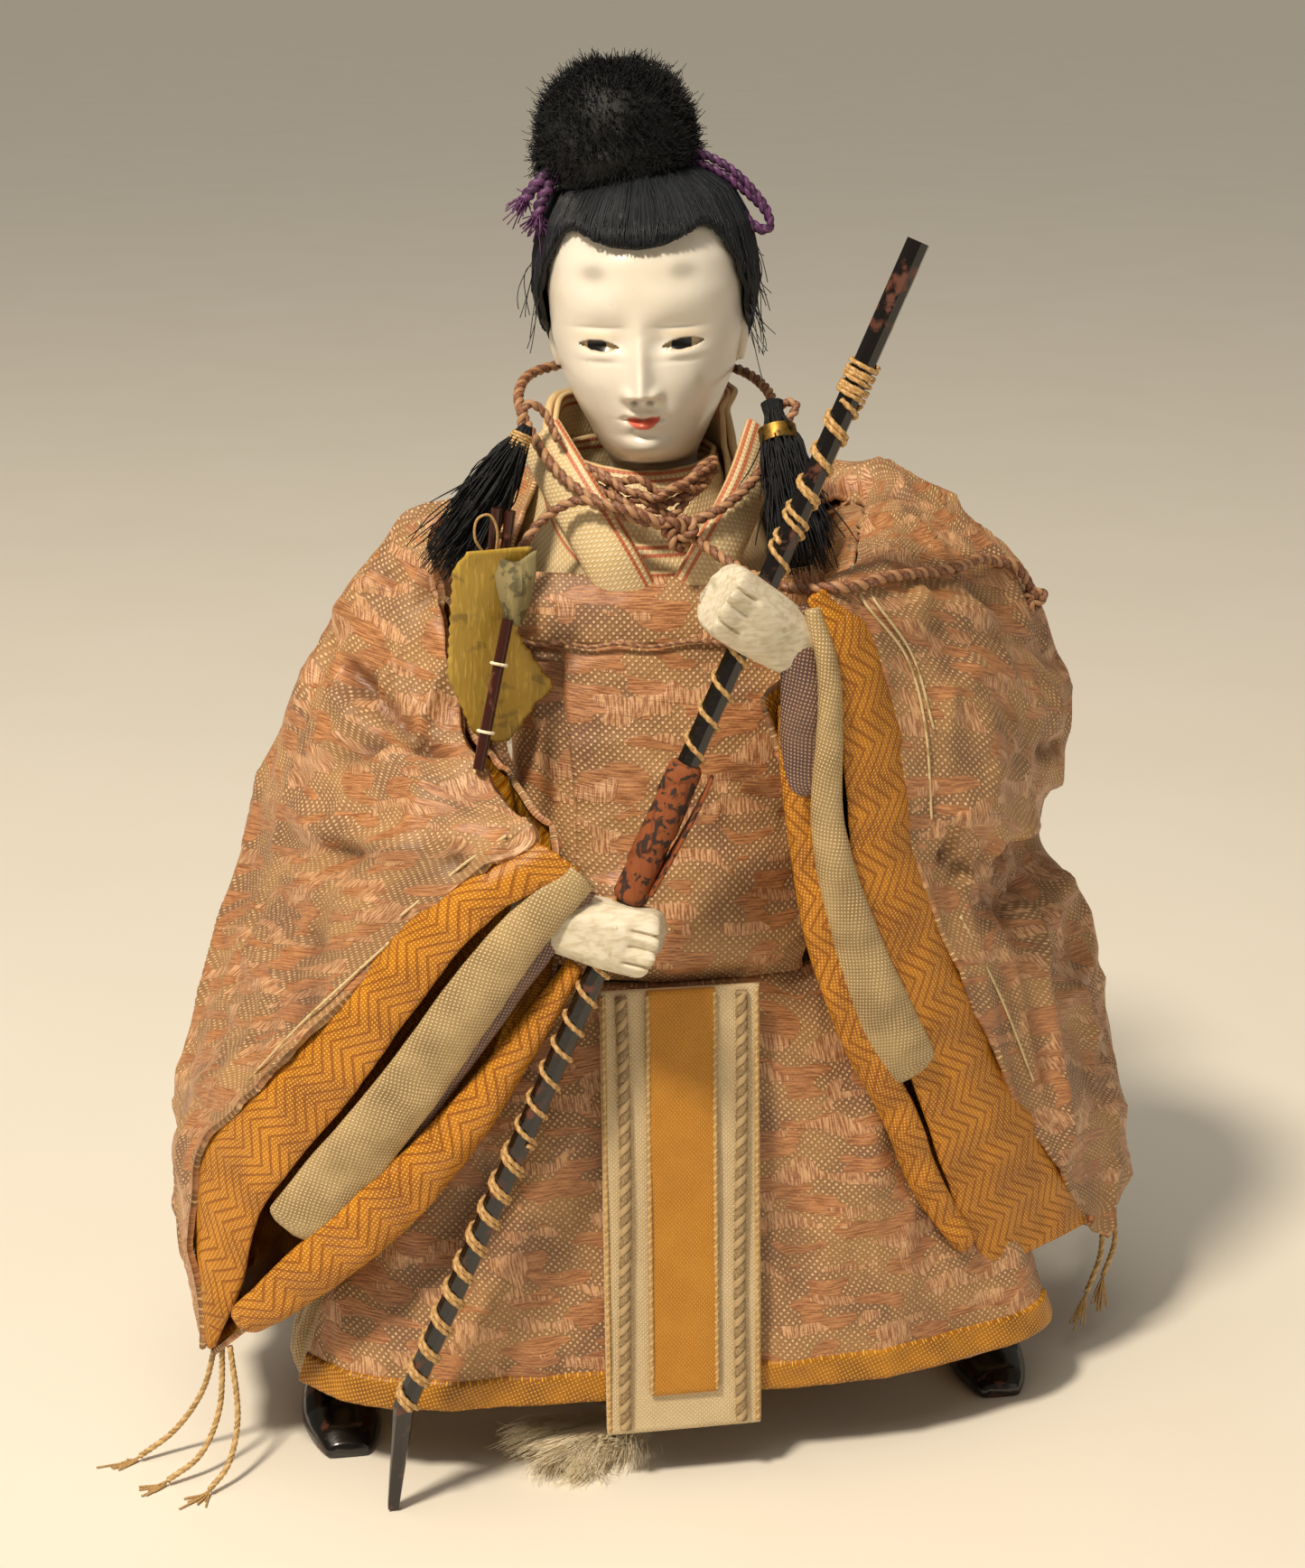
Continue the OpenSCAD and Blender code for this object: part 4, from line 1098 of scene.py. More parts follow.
SLEEVE_LEFT = [
    [(18.6, -8, 127), (19, -4, 129.4), (19, 0, 130), (18.6, 5, 128),
     (19, 8, 123), (19.6, 2, 118.6), (20, -7, 121.6)],
    [(27, -10, 128), (29, -6, 130.4), (29.5, 0, 131.2), (27.5, 6, 128.8),
     (24, 7, 124), (22, 0, 123), (26.6, -9.6, 127.2)],
    [(25, -22, 126.4), (31, -14, 129.4), (36, -2, 129.2), (35, 7, 125.8),
     (27, 10, 119), (22.6, 0, 119), (24.6, -21.6, 125.6)],
    [(21.5, -33, 124.8), (30, -24, 127.4), (42, -5, 125.2), (43, 7, 120.8),
     (35, 12, 114), (25, -2, 114), (20.4, -32, 123.4)],
    [(15.5, -42, 123.3), (28, -34, 123.8), (47.6, -10, 120.4), (49.5, 6, 115),
     (42, 13, 108), (28, -8, 107), (12.4, -37.4, 113)],
    [(20.8, -42, 118.5), (33, -34.4, 117), (52, -10, 113.5), (54, 5, 108),
     (46, 13, 101), (29, -10, 100), (9.6, -40.6, 109)],
    [(24.5, -40.5, 110), (38, -34, 108), (55, -11, 105), (56.5, 4, 99),
     (49, 13, 93), (30, -12, 93), (10.8, -41.6, 102)],
    [(26.6, -40, 100), (41, -34, 98), (56.6, -12, 95.5), (57.5, 4, 90),
     (51, 13, 85), (31, -14, 85), (12.3, -41.5, 93)],
    [(28.2, -39, 90), (42, -31.5, 88), (55.4, -11, 86), (57.5, 6, 80),
     (53, 14, 76), (33, -14, 75), (14, -40.5, 84)],
    [(32, -37.5, 79.5), (42.4, -27, 78), (53, -4, 77.5), (59.5, 8, 72),
     (55, 15, 67), (35, -15, 66), (16.5, -39.5, 74)],
    [(37.5, -34.5, 66.5), (50, -24, 66), (62, 0, 67), (64.5, 10, 63),
     (58, 15, 57), (37, -15, 55), (21.5, -37.5, 62)],
    [(44.5, -30.5, 52), (57, -20, 52.5), (67.5, 2, 53.5), (69, 11, 50),
     (61, 15, 45), (43, -14, 43), (28.5, -34.8, 49)],
    [(53, -26.5, 37.5), (63.5, -16, 38.5), (72, 3, 38.5), (72, 10, 36),
     (65, 13, 33), (51, -13, 31), (36.8, -31.5, 35)],
    [(60, -22, 26), (68, -12, 25.5), (73.2, 1, 26), (72.5, 6, 25.5),
     (68, 7, 24), (57, -12, 22.5), (43, -28.5, 24)],
    [(61, -21.5, 24.5), (66, -13.5, 18), (70.5, -4, 18.5), (72, 2, 21.5),
     (70.5, 1, 21), (60, -12, 19.5), (46.4, -28, 21.2)],
]
# Inner edge of the orange facing, row by row from the wrist to the lowest corner
FACING_RIGHT = [
    (-15.4, -45, 89.5), (-26.5, -44.4, 83.6), (-35, -42, 72.4), (-43.5, -39.4, 59.4),
    (-52, -35.8, 47.4), (-56.6, -32.6, 39), (-58.8, -30, 29), (-62.8, -27, 18.4),
]
FACING_LEFT = [
    (13.2, -44, 122.5), (15.5, -44.4, 116), (17.3, -44, 108), (18.4, -43.4, 99),
    (19.8, -42.4, 87), (22.6, -40.8, 76), (26.4, -39.2, 63), (31.6, -36.8, 50.6),
    (36.4, -34.2, 37.4), (41.4, -31.6, 26.6), (43, -30.4, 22.6),
]
CREASES_RIGHT = [
    (-41, -10, 107, -31.5, -26, 99, 1.5, -1.7), (-42, -12, 103, -34, -26, 96, 1.6, 1.2),
    (-45, -6, 99, -43, -12, 87, 1.6, -1.6), (-38.5, -20, 95.5, -45, -14, 80, 2.0, -1.6),
    (-25, -32, 98.5, -36.5, -24, 93.5, 1.3, 1.0), (-26, -30, 102, -38, -20, 98, 1.4, -1.5),
    (-47.5, -30, 68, -60.4, -22, 49, 1.5, -1.2), (-52.4, -8, 73.5, -58, -10, 63, 1.8, -1.3),
    (-31.2, -2, 122.7, -29.4, -14, 112.7, 1.3, -1.6), (-44, -28, 74, -56, -22, 58, 1.6, 1.0),
    (-30, -14, 118, -40, -12, 100, 1.5, -1.3), (-33, -10, 123, -42, -4, 112, 1.8, 0.9),
    (-38, -22, 100, -47, -12, 92, 1.6, -1.3), (-44, -14, 104, -34, -22, 107, 1.5, 0.9),
    (-47, -14, 88, -36, -36, 90, 2.0, 1.0), (-46, -22, 86, -30, -40, 90, 1.4, -0.9),
    (-50, -14, 80, -40, -34, 82, 1.8, 0.9), (-52, -18, 76, -44, -33, 74, 1.4, -0.8),
    (-56, -12, 70, -50, -28, 66, 2.0, 0.8), (-60, -10, 58, -54, -26, 60, 1.6, -0.7),
    (-62, -12, 50, -58, -24, 54, 1.8, 0.7), (-64, -10, 44, -60, -24, 50, 1.4, -0.6),
    (-48, 6, 94, -56, 6, 70, 2.2, 1.1), (-44, 12, 96, -52, 12, 66, 2.0, -1.0),
    (-40, 12, 104, -50, 12, 80, 1.8, 0.8), (-58, 12, 60, -62, 10, 36, 2.2, 0.9),
    (-36, 10, 114, -44, 10, 100, 1.6, -0.9), (-42, -3, 112, -46, -6, 98, 1.4, -0.7),
]
CREASES_LEFT = [
    (57, -4, 86, 41, -24, 80.5, 2.8, -1.4), (56, -6, 93.6, 41, -24, 82, 2.0, 1.5),
    (33.6, -36, 97.3, 33.9, -36, 86, 1.2, -1.1), (37, -34, 98, 37.5, -33, 82, 1.3, 1.1),
    (34.6, -28, 113, 54.3, -10, 103, 1.8, 1.5), (36, -30, 108, 54, -12, 98, 1.5, -1.6),
    (40, -28, 77.6, 55.4, -14, 51.4, 2.2, -1.6), (40, -30, 68, 49.4, -24, 45.8, 1.2, -1.2),
    (46, -22, 72, 60, -12, 48, 2.6, 1.6), (43, -29, 62, 54, -22, 40, 1.4, 0.9),
    (69, 0, 52, 57, -6, 78, 2.4, 1.0),
    (30, -14, 129, 44, -8, 122, 1.8, -0.6), (26, -24, 126, 38, -22, 122, 1.6, 0.5),
    (24, -34, 124, 40, -24, 116, 1.8, -0.7), (28, -36, 120, 44, -26, 114, 1.7, 1.0),
    (42, -24, 112, 55, -12, 104, 1.8, -1.2), (36, -34, 110, 52, -20, 100, 2.0, 1.0),
    (38, -34, 98, 55, -16, 94, 1.5, -1.2), (34, -36, 92, 50, -20, 84, 1.8, 1.0),
    (36, -34, 84, 52, -14, 80, 1.4, -1.5), (38, -30, 104, 40, -31, 84, 1.3, -0.7),
    (33, -37, 108, 33, -36, 88, 1.1, 0.7), (44, -24, 74, 56, -10, 76, 2.0, -1.4),
    (48, -22, 66, 60, -4, 70, 2.4, 1.2), (54, -18, 56, 66, -4, 58, 2.4, 0.8),
    (58, -16, 46, 70, -4, 46, 1.8, -0.8), (62, -14, 36, 72, -2, 34, 2.2, 0.8),
    (52, 10, 104, 56, 12, 76, 2.2, -1.1), (46, 13, 108, 52, 14, 84, 2.0, 0.9),
    (60, 13, 66, 68, 12, 36, 2.4, 1.0), (52, 15, 72, 60, 15, 50, 2.0, -1.0),
    (38, 10, 120, 50, 10, 106, 1.8, 0.9), (40, -6, 126, 52, -9, 112, 1.4, -0.7),
]


def make_sleeve(side, net, facing_edge, creases, seed):
    """Outer bag, orange facing of the mouth and the sleeve's own lining, in one place."""
    grid = refine(net, 170, 150)
    middle = grid.mean(axis=1, keepdims=True)
    places = cloth_places(grid, start=0.2)
    drape = (-0.5, 0, -1) if side == "right" else (0.4, 0, -1)
    grid, fold = creased(grid, grid - middle, creases, 0.5, 9, seed, drape, ridge=1.5)
    bag = shell(f"sleeve_{side}_brocade", grid, 0.9, grid - middle, "torso", [BROCADE, ORANGE],
                fold, [f"sleeve_{side}"], places)
    cloth_sheet(bag)
    mouth = len(net) - len(facing_edge)
    lip = np.array([row[0] for row in net[mouth:]], float)
    edge = np.array(facing_edge, float)
    inward = np.array([row[1] for row in net[mouth:]], float)
    front = np.array([0, -1.1, 0.3])
    forward = np.array([0, -1.0, 0.2])
    under = lip + (inward - lip) * 0.10 + [0, 1.0, 0]
    crown = lip * 0.45 + edge * 0.55 + front
    back = edge + (inward - edge) * 0.16 + [0, 2.6, 0]
    deep = edge + (inward - edge) * 0.55 + [0, 6.0, 0]
    strip = np.stack([under, lip * 0.86 + edge * 0.14 + front * 0.5, crown, edge, back, deep], 1)
    band = refine(strip, 150, 60)
    band, fold = creased(band, forward, (), 0.28, 6, seed + 4)
    facing = shell(f"sleeve_facing_{side}", band, 0.55, forward, "torso", [ORANGE],
                   fold, [f"sleeve_lining_{side}"])
    cloth_sheet(facing)
    return grid


def flat_tube(name, path, half, thick, material, slot, side_of, replaces):
    """Pressed sleeve end: a flattened tube along a path, with rounded ends."""
    tip = 2.2
    path = route(path, 0.6)
    along = lengths(path)
    face = unit([0.0, -1, 0.15])
    across = unit(np.cross(unit(np.gradient(path, axis=0)), face))
    across = np.where((across @ np.array(side_of))[:, None] < 0, -across, across)
    turn = around(40)
    half = np.interp(along / along[-1], np.linspace(0, 1, len(half)), half)
    end = np.sqrt(np.clip(1 - (np.clip(1 - (along[-1] - along) / tip, 0, 1)) ** 2, 0.0, 1))
    end = np.maximum(end, 0.05)
    x = powered(np.cos(turn), 0.9) * (half * end)[:, None]
    y = np.sin(turn) * (thick * np.minimum(1, end + 0.25))[:, None]
    rings = path[:, None] + across[:, None] * x[..., None] + face * y[..., None]
    rings = rings + (face * 0.55) * lumps(rings, 3.6, 3)[..., None]
    u = np.cumsum(np.linalg.norm(np.diff(rings, axis=1, append=rings[:, :1]), axis=-1), axis=1)
    places = np.stack([u, np.broadcast_to(along[:, None], u.shape)], axis=-1)
    # The fold mark darkens the back half of each tube as painted shade.
    return lofted(name, rings, "torso", material, replaces,
                  {"fold": np.clip(-y / thick, 0, 1).ravel()}, uv=places)


# Pressed sleeve ends in the mouths: name, path, half widths along it, half thickness,
# material, slot, which way its outer edge lies, and the CAD nodes that it stands for
SLEEVE_ENDS = (
    ("sleeve_rear_facing_right",
     [(-15.4, -41.6, 76), (-22.8, -41.6, 64.8), (-31.5, -40.6, 52.6), (-40.9, -38.6, 41.7),
      (-50.4, -35.6, 32.4), (-59.8, -30.6, 22.8)],
     [1.2, 2.3, 3.4, 4.0, 3.7, 2.4], 1.5, ORANGE, "orange_silk", (1, 0, -1), ()),
    ("sleeve_rear_facing_left",
     [(11.6, -42, 109), (12.6, -42.4, 98.6), (14.6, -41.8, 87.4), (17, -41, 75.9),
      (22, -39.4, 62.3), (27.9, -37.4, 51), (33, -35, 38.6), (40, -32, 27)],
     [1.6, 2.2, 2.4, 2.3, 2.3, 2.4, 2.2, 1.6], 1.5, ORANGE, "orange_silk", (-1, 0, -0.4), ()),
    ("inner_sleeve_right_silk",
     [(-15, -44.6, 89), (-22.5, -44.6, 81.4), (-28.6, -43.6, 73), (-35.2, -41.4, 62.4),
      (-41.6, -39, 53), (-47.4, -36.4, 44.4), (-52, -34.6, 37.6)],
     [2.4, 3.2, 3.8, 4.0, 4.2, 4.6, 4.8], 1.5, CREAM, "cream_silk", (1, 0, -1),
     ["inner_sleeve_right"]),
    ("cuff_right_silk",
     [(-14.4, -43.6, 87), (-20, -43, 79), (-25.6, -42, 70.6), (-32, -39.8, 60.4),
      (-38.4, -37.4, 51), (-44.6, -35, 42.6)],
     [1.6, 1.9, 1.8, 1.7, 1.7, 1.5], 0.9, PURPLE, "purple_silk", (1, 0, -1), ["cuff_right"]),
    ("inner_sleeve_left_silk",
     [(13.6, -44.4, 121.6), (15.6, -45, 114), (16, -44.8, 105), (16, -44, 96),
      (17.6, -43.2, 87), (21, -41.8, 76.6), (25, -40, 66), (29.4, -37.4, 55.4)],
     [1.0, 1.5, 1.8, 2.2, 2.7, 3.3, 4.1, 4.6], 1.5, CREAM, "cream_silk", (-1, 0, -0.2),
     ["inner_sleeve_left"]),
    ("cuff_left_silk",
     [(11.6, -42.8, 121.4), (12.4, -43.8, 114), (12.8, -43.6, 106), (13.6, -43, 97)],
     [2.2, 2.6, 2.8, 2.2], 1.3, PURPLE, "purple_silk", (-1, 0, -0.2), ["cuff_left"]),
)


def make_sleeve_ends():
    """The orange turn-backs of the rear layers, the cream inner sleeves and the cuffs."""
    for end in SLEEVE_ENDS:
        cloth_sheet(flat_tube(*end), layers=2)


def hanging_threads(side, starts, seed):
    """Braided ends at a sleeve's lowest corner, frayed where they lie on the table."""
    for k, points in enumerate(starts):
        path = route(points, 0.25)
        twisted(f"sleeve_cord_{side}_{k}", path, 0.45, "torso", STRAW_CORD,
                [f"sleeve_cords_{side}"] if k == 0 else (), plies=3, pitch=2.4, sides=9)
        tip, along = path[-1], unit(path[-1] - path[-6])
        draw = np.random.default_rng(seed + k)
        reach = draw.uniform(2.0, 4.2, 16)
        spread = along + draw.normal(0, 0.26, (16, 3)) * [1, 1, 0.3]
        t = np.linspace(0, 1, 6)[None, :, None]
        hair = tip + spread[:, None] * t * reach[:, None, None]
        floor = 0.25 if tip[2] < 2 else -np.inf
        hair[..., 2] = np.maximum(hair[..., 2] - 0.3 * t[..., 0] ** 2 * reach[:, None], floor)
        tubes(f"sleeve_fray_{side}_{k}", hair, 0.12, 4, "torso", STRAW_CORD)


right_bag = make_sleeve("right", SLEEVE_RIGHT, FACING_RIGHT, CREASES_RIGHT, seed=11)
left_bag = make_sleeve("left", SLEEVE_LEFT, FACING_LEFT, CREASES_LEFT, seed=21)
make_sleeve_ends()
make_neck_cords()
hanging_threads("right", [
    [(-62.8, -25, 18), (-65, -24, 10), (-69, -23.6, 4), (-74.0, -24.6, 0.8)],
    [(-62, -26, 18), (-62.8, -27.4, 9), (-65.6, -29.6, 3.4), (-70.2, -31.4, 0.8)],
    [(-61, -27, 18), (-60.4, -29.4, 9), (-61.8, -32.2, 3.4), (-64.6, -34.6, 0.8)],
], seed=31)
hanging_threads("left", [
    [(68.6, -9, 20), (68.6, -10.6, 15), (66.8, -11.4, 9.8)],
    [(66.4, -11, 20), (65.8, -12.6, 14), (63.6, -13.6, 8.4)],
], seed=41)


# ---------------------------------------------------------------- head

SIDES = ((-1, "right"), (1, "left"))


def on_head(points):
    """From the head's own frame to the row frame."""
    p = np.asarray(points, float) - HEAD_MIDDLE
    c, s = math.cos(HEAD_TURN), math.sin(HEAD_TURN)
    x, y, z = p[..., 0] * c - p[..., 1] * s, p[..., 0] * s + p[..., 1] * c, p[..., 2]
    c, s = math.cos(HEAD_LEAN), math.sin(HEAD_LEAN)
    return np.stack([x * c + z * s, y, z * c - x * s], axis=-1) + HEAD_AT


def bump(x, z, at_x, at_z, wide, tall):
    """Soft round hill, 1 high at its middle."""
    return np.exp(-((x - at_x) / wide) ** 2 - ((z - at_z) / tall) ** 2)


EYE_AT, EYE_HALF, EYE_TALL, EYE_SLANT = (5.45, 149.7), 2.6, 0.72, 0.07


def eye_gap(x, z):
    """Below 1 inside the almond opening between the lids."""
    dx = (np.abs(x) - EYE_AT[0]) / EYE_HALF
    middle = EYE_AT[1] + EYE_SLANT * (np.abs(x) - EYE_AT[0])
    tall = np.where(z > middle, EYE_TALL * 0.95, EYE_TALL * 0.85)
    tall = tall * np.clip(1 - np.abs(dx) ** 2.2, 0.001, 1)
    return np.where(np.abs(dx) < 1, np.abs(z - middle) / tall, 9.0)


def relief(x, z):
    """How far the features stand out of the smooth face."""
    a = np.abs(x)
    down = np.clip((151.2 - z) / 7.4, 0, 1)
    under = smooth((z - 142.5) / 1.3)
    ridge = 3.5 * down ** 1.25 * under * np.exp(-(a / (0.75 + 0.75 * down)) ** 2)
    ridge += 0.55 * bump(a, z, 0, 150.6, 1.4, 3.0)
    wings = 1.35 * bump(a, z, 1.75, 143.5, 0.8, 0.85) - 0.9 * bump(a, z, 1.05, 142.55, 0.5, 0.35)
    socket = -1.0 * bump(a, z, 4.9, 151.2, 4.2, 2.0) - 0.5 * bump(a, z, 2.6, 149.8, 1.2, 1.8)
    lids = 0.55 * bump(a, z, 5.5, 150.9, 2.9, 0.75) + 0.40 * bump(a, z, 5.4, 148.7, 2.8, 0.7)
    lids -= 0.22 * bump(a, z, 5.5, 152.0, 3.0, 0.28) + 0.18 * bump(a, z, 5.2, 147.7, 2.6, 0.35)
    cheeks = 0.55 * bump(a, z, 7.2, 145, 3.6, 3.4) + 0.35 * bump(a, z, 5.2, 155, 4.4, 2.2)
    mouth = 0.75 * bump(a, z, 0.95, 141.0, 1.2, 0.5) + 0.85 * bump(a, z, 0, 139.45, 1.5, 0.55)
    mouth -= 0.75 * bump(a, z, 0, 140.25, 2.3, 0.2) + 0.35 * bump(a, z, 2.3, 140.3, 0.5, 0.5)
    mouth -= 0.25 * bump(a, z, 0, 142.0, 0.4, 0.6) + 0.55 * bump(a, z, 0, 138.1, 2.4, 0.65)
    chin = 0.8 * bump(a, z, 0, 136.3, 2.8, 1.5)
    return ridge + wings + socket + lids + cheeks + mouth + chin


def face_y(x, z):
    """The face's front, without the openings for the eyes."""
    half, front, _, square = section(SKULL, z)
    inside = np.clip(1 - np.abs(x / half) ** square, 0, 1)
    return -front * inside ** (1 / square) - relief(x, z)


def make_head():
    """White head, with its features raised and its paint carried by the mesh."""
    front = np.linspace(-62, 62, 200)
    side = np.linspace(62, 298, 60)[1:-1]
    angle = np.radians(np.concatenate([front, side]))[None, :]
    z = np.concatenate([np.arange(125, 132.6, 0.8), np.arange(132.7, 164, 0.2),
                        np.arange(164, 171.61, 0.5)])[:, None]
    half, deep, back, square = section(SKULL, z)
    half, deep, back = (running_mean(v[:, 0], 9)[:, None] for v in (half, deep, back))
    x = half * powered(np.sin(angle), 2 / square)
    ahead = np.cos(angle) > 0
    y = -np.where(ahead, deep, back) * powered(np.cos(angle), 2 / square)
    z = z + 0 * x
    fade = smooth((z - 133.2) / 1.2) * smooth(np.cos(angle) * 3)
    gap = eye_gap(x, z)
    opening = smooth((1.12 - gap) / 0.3) * ahead
    y = y - relief(x, z) * fade + 1.7 * opening
    paint = np.zeros(x.shape + (4,))

    def tint(code, share):
        keep = 1 - share[..., None]
        paint[..., :3] = paint[..., :3] * keep + np.array(tone(code)[:3]) * share[..., None]
        paint[..., 3] = paint[..., 3] * (1 - share) + share

    a = np.abs(x)
    top = np.where(a < 1.0, 140.15 + 0.55 * a, 140.75 - 0.18 * (a - 1.0))
    low = 138.95 + 0.26 * a ** 2
    lips = smooth((top - z) / 0.22 + 0.5) * smooth((z - low) / 0.25 + 0.5)
    lips = lips * smooth((2.25 - a) / 0.25)
    tint("e0502c", lips * ahead * 0.9)
    tint("6c2a1c", np.exp(-((z - 140.25 - 0.08 * a) / 0.10) ** 2) * (a < 2.1) * ahead * 0.6)
    brow = np.exp(-(((a - 5.7) / 1.7) ** 2 + ((z - 159.0) / 1.1) ** 2) ** 1.4)
    tint("8f887c", 0.55 * brow * ahead)
    rim = np.exp(-((gap - 1.15) / 0.22) ** 2) * ahead
    upper = z > EYE_AT[1] + EYE_SLANT * (a - EYE_AT[0])
    tint("d8b878", 0.55 * rim * ~upper)
    tint("2a2018", 0.75 * rim * upper)
    tint("dcb870", 0.40 * bump(a, z, 5.4, 151.1, 2.8, 0.45) * ahead)
    tint("b09a70", 0.30 * bump(x, z, 7.2, 145.4, 0.7, 1.4) * ahead)
    # Painted shade in the nostrils.
    tint("5a4636", 0.55 * bump(a, z, 1.05, 142.5, 0.5, 0.28) * ahead)
    rings = on_head(np.stack([x, y, z], axis=-1))
    paint[..., :3] /= np.maximum(paint[..., 3:], 0.001)
    lofted("head_gofun", rings, "head", GOFUN, ["head"], {"paint": paint.reshape(-1, 4)})


def make_eyes():
    """Glass eyes, set behind the openings of the lids."""
    wide, tall, thick = 2.9, 1.0, 0.4
    for side, name in SIDES:
        middle = side * EYE_AT[0]
        x = middle + np.linspace(-wide, wide, 44)[None, :]
        z = EYE_AT[1] + np.linspace(-tall, tall, 24)[:, None]
        x, z = np.broadcast_arrays(x, z)
        roll = ((x - middle) / wide) ** 2 + (z - EYE_AT[1]) ** 2 / 2.2
        grid = np.stack([x, face_y(x, z) + 0.62 + 0.25 * roll, z], axis=-1)
        inner = grid - unit([side * 0.35, -1.0, 0]) * thick
        iris = np.exp(-(((x - middle + 0.25) / 1.35) ** 2) ** 2)
        rows, columns = x.shape
        rim, front = rim_of(rows, columns), quads(rows, columns)
        edge = np.stack([np.roll(rim, -1), rim, rim + x.size, np.roll(rim, -1) + x.size], 1)
        points = on_head(np.concatenate([grid.reshape(-1, 3), inner.reshape(-1, 3)]))
        built(f"eye_{name}_glass", points, [front, front[:, ::-1] + x.size, edge[:, ::-1]],
              "head", [EYE], [f"eye_{name}"],
              marks={"iris": np.concatenate([iris.ravel()] * 2)})


def make_ears():
    """Ears, flat to the head and mostly under the hair."""
    for side, name in SIDES:
        t = np.linspace(0, 1, 26)
        turn = around(24)
        wide = 2.3 * np.sin(np.pi * (0.12 + 0.80 * t)) ** 0.7 * (0.75 + 0.3 * t)
        z = 145.2 + 7.6 * t
        x = side * (11.7 + 0.75 * np.sin(t * np.pi))[:, None] + side * 0.9 * np.cos(turn)[None]
        dent = 0.45 * np.exp(-((t - 0.62) / 0.2) ** 2)[:, None] * np.exp(-(turn / 0.7) ** 2)[None]
        y = 0.2 + (1.2 * t)[:, None] + wide[:, None] * np.sin(turn)[None]
        rings = np.stack([x - side * dent, y, z[:, None] + 0 * x], axis=-1)
        lofted(f"ear_{name}", on_head(rings), "head", GOFUN,
               marks={"paint": np.zeros((rings.shape[0] * rings.shape[1], 4))})


def hairline(angle):
    """Height of the hair's lower edge round the head: a dip at the brow, low at the nape."""
    turns = [0, 12, 24, 34, 42, 52, 62, 71, 79, 88, 100, 130, 180]
    heights = [162.2, 162.5, 163.4, 164.6, 164.6, 163, 159.8, 155.4, 151.6, 150.4, 147, 141, 140]
    return np.interp(np.abs(angle), turns, heights)


def cap_grow(angle, z):
    """How far the combed hair stands off the head."""
    front = np.exp(-(angle / 46) ** 4)
    side = np.exp(-((np.abs(angle) - 92) / 30) ** 2)
    brow = front * np.exp(-((z - 164.6) / 2.6) ** 2)
    return 0.9 + 1.0 * brow + 0.9 * side * smooth((z - 148) / 8)


def make_hair_cap():
    """Hair combed up to the topknot: a cap, strands over it and loose wisps."""
    grid = panel(SKULL, (-179.6, 179.6), hairline, 171.0, 60, 280, cap_grow)
    ribs = 0.10 * np.sin(np.linspace(0, 280, 280))[None] + 0.12 * lumps(grid, 1.2, 5)
    grid = grid + normals_of(grid, grid - HEAD_MIDDLE) * ribs[..., None]
    cap = shell("hair_cap_base", on_head(grid), 0.8, on_head(grid) - HEAD_AT, "head", [CAP_HAIR],
                replaces=["hair_cap"])
    mesh = cap.data
    mark = mesh.attributes.new("strand", "FLOAT", "POINT")
    mark.data.foreach_set("value", np.full(len(mesh.vertices), 0.2, np.float32))
    count, steps = 1500, 14
    angle = random.uniform(-179, 179, count)
    bottom = hairline(angle) + random.uniform(-0.35, 0.5, count)
    t = np.linspace(0, 1, steps)
    z = bottom[:, None] + (171.2 - bottom)[:, None] * t
    sway = random.normal(0, 1.6, (count, 1)) * np.sin(t * np.pi) + random.normal(0, 0.8, (count, 1))
    lift = cap_grow(angle[:, None], z) + 0.06 + random.uniform(0, 0.16, (count, 1))
    paths = oval(SKULL, angle[:, None] + sway, z, lift)
    radii = 0.07 + 0.05 * random.random((count, 1)) * np.ones(steps)
    tubes("hair_cap_strands", on_head(paths), radii, 3, "head", CAP_HAIR,
          marks={"strand": random.random((count, 1)) ** 2})
    loose = 40
    angle = np.where(random.random(loose) < 0.75, random.uniform(62, 96, loose),
                     random.uniform(-100, -64, loose))
    t = np.linspace(0, 1, 9)
    start = oval(SKULL, angle, 158 + random.uniform(-6, 6, loose), 1.6)
    fall = np.stack([np.sign(angle) * random.uniform(0.4, 2.6, loose),
                     random.uniform(-2, 0.5, loose), -random.uniform(4, 9, loose)], axis=-1)
    bend = random.normal(0, 0.7, (loose, 1, 3)) * np.sin(t * np.pi)[None, :, None]
    paths = start[:, None] + fall[:, None] * t[None, :, None] + bend
    tubes("hair_wisps", on_head(paths), 0.07, 3, "head", CAP_HAIR,
          marks={"strand": random.random((loose, 1)) ** 2})


# Height and half width of the topknot's bundle
TOPKNOT = np.array([
    [168.4, 9.0], [170, 10.6], [172, 11.2], [175, 10.9], [178, 10.0], [181, 8.0], [183, 5.0],
    [184, 1.2],
])
TOPKNOT_AT = np.array([-3.5, 1.5, 0])


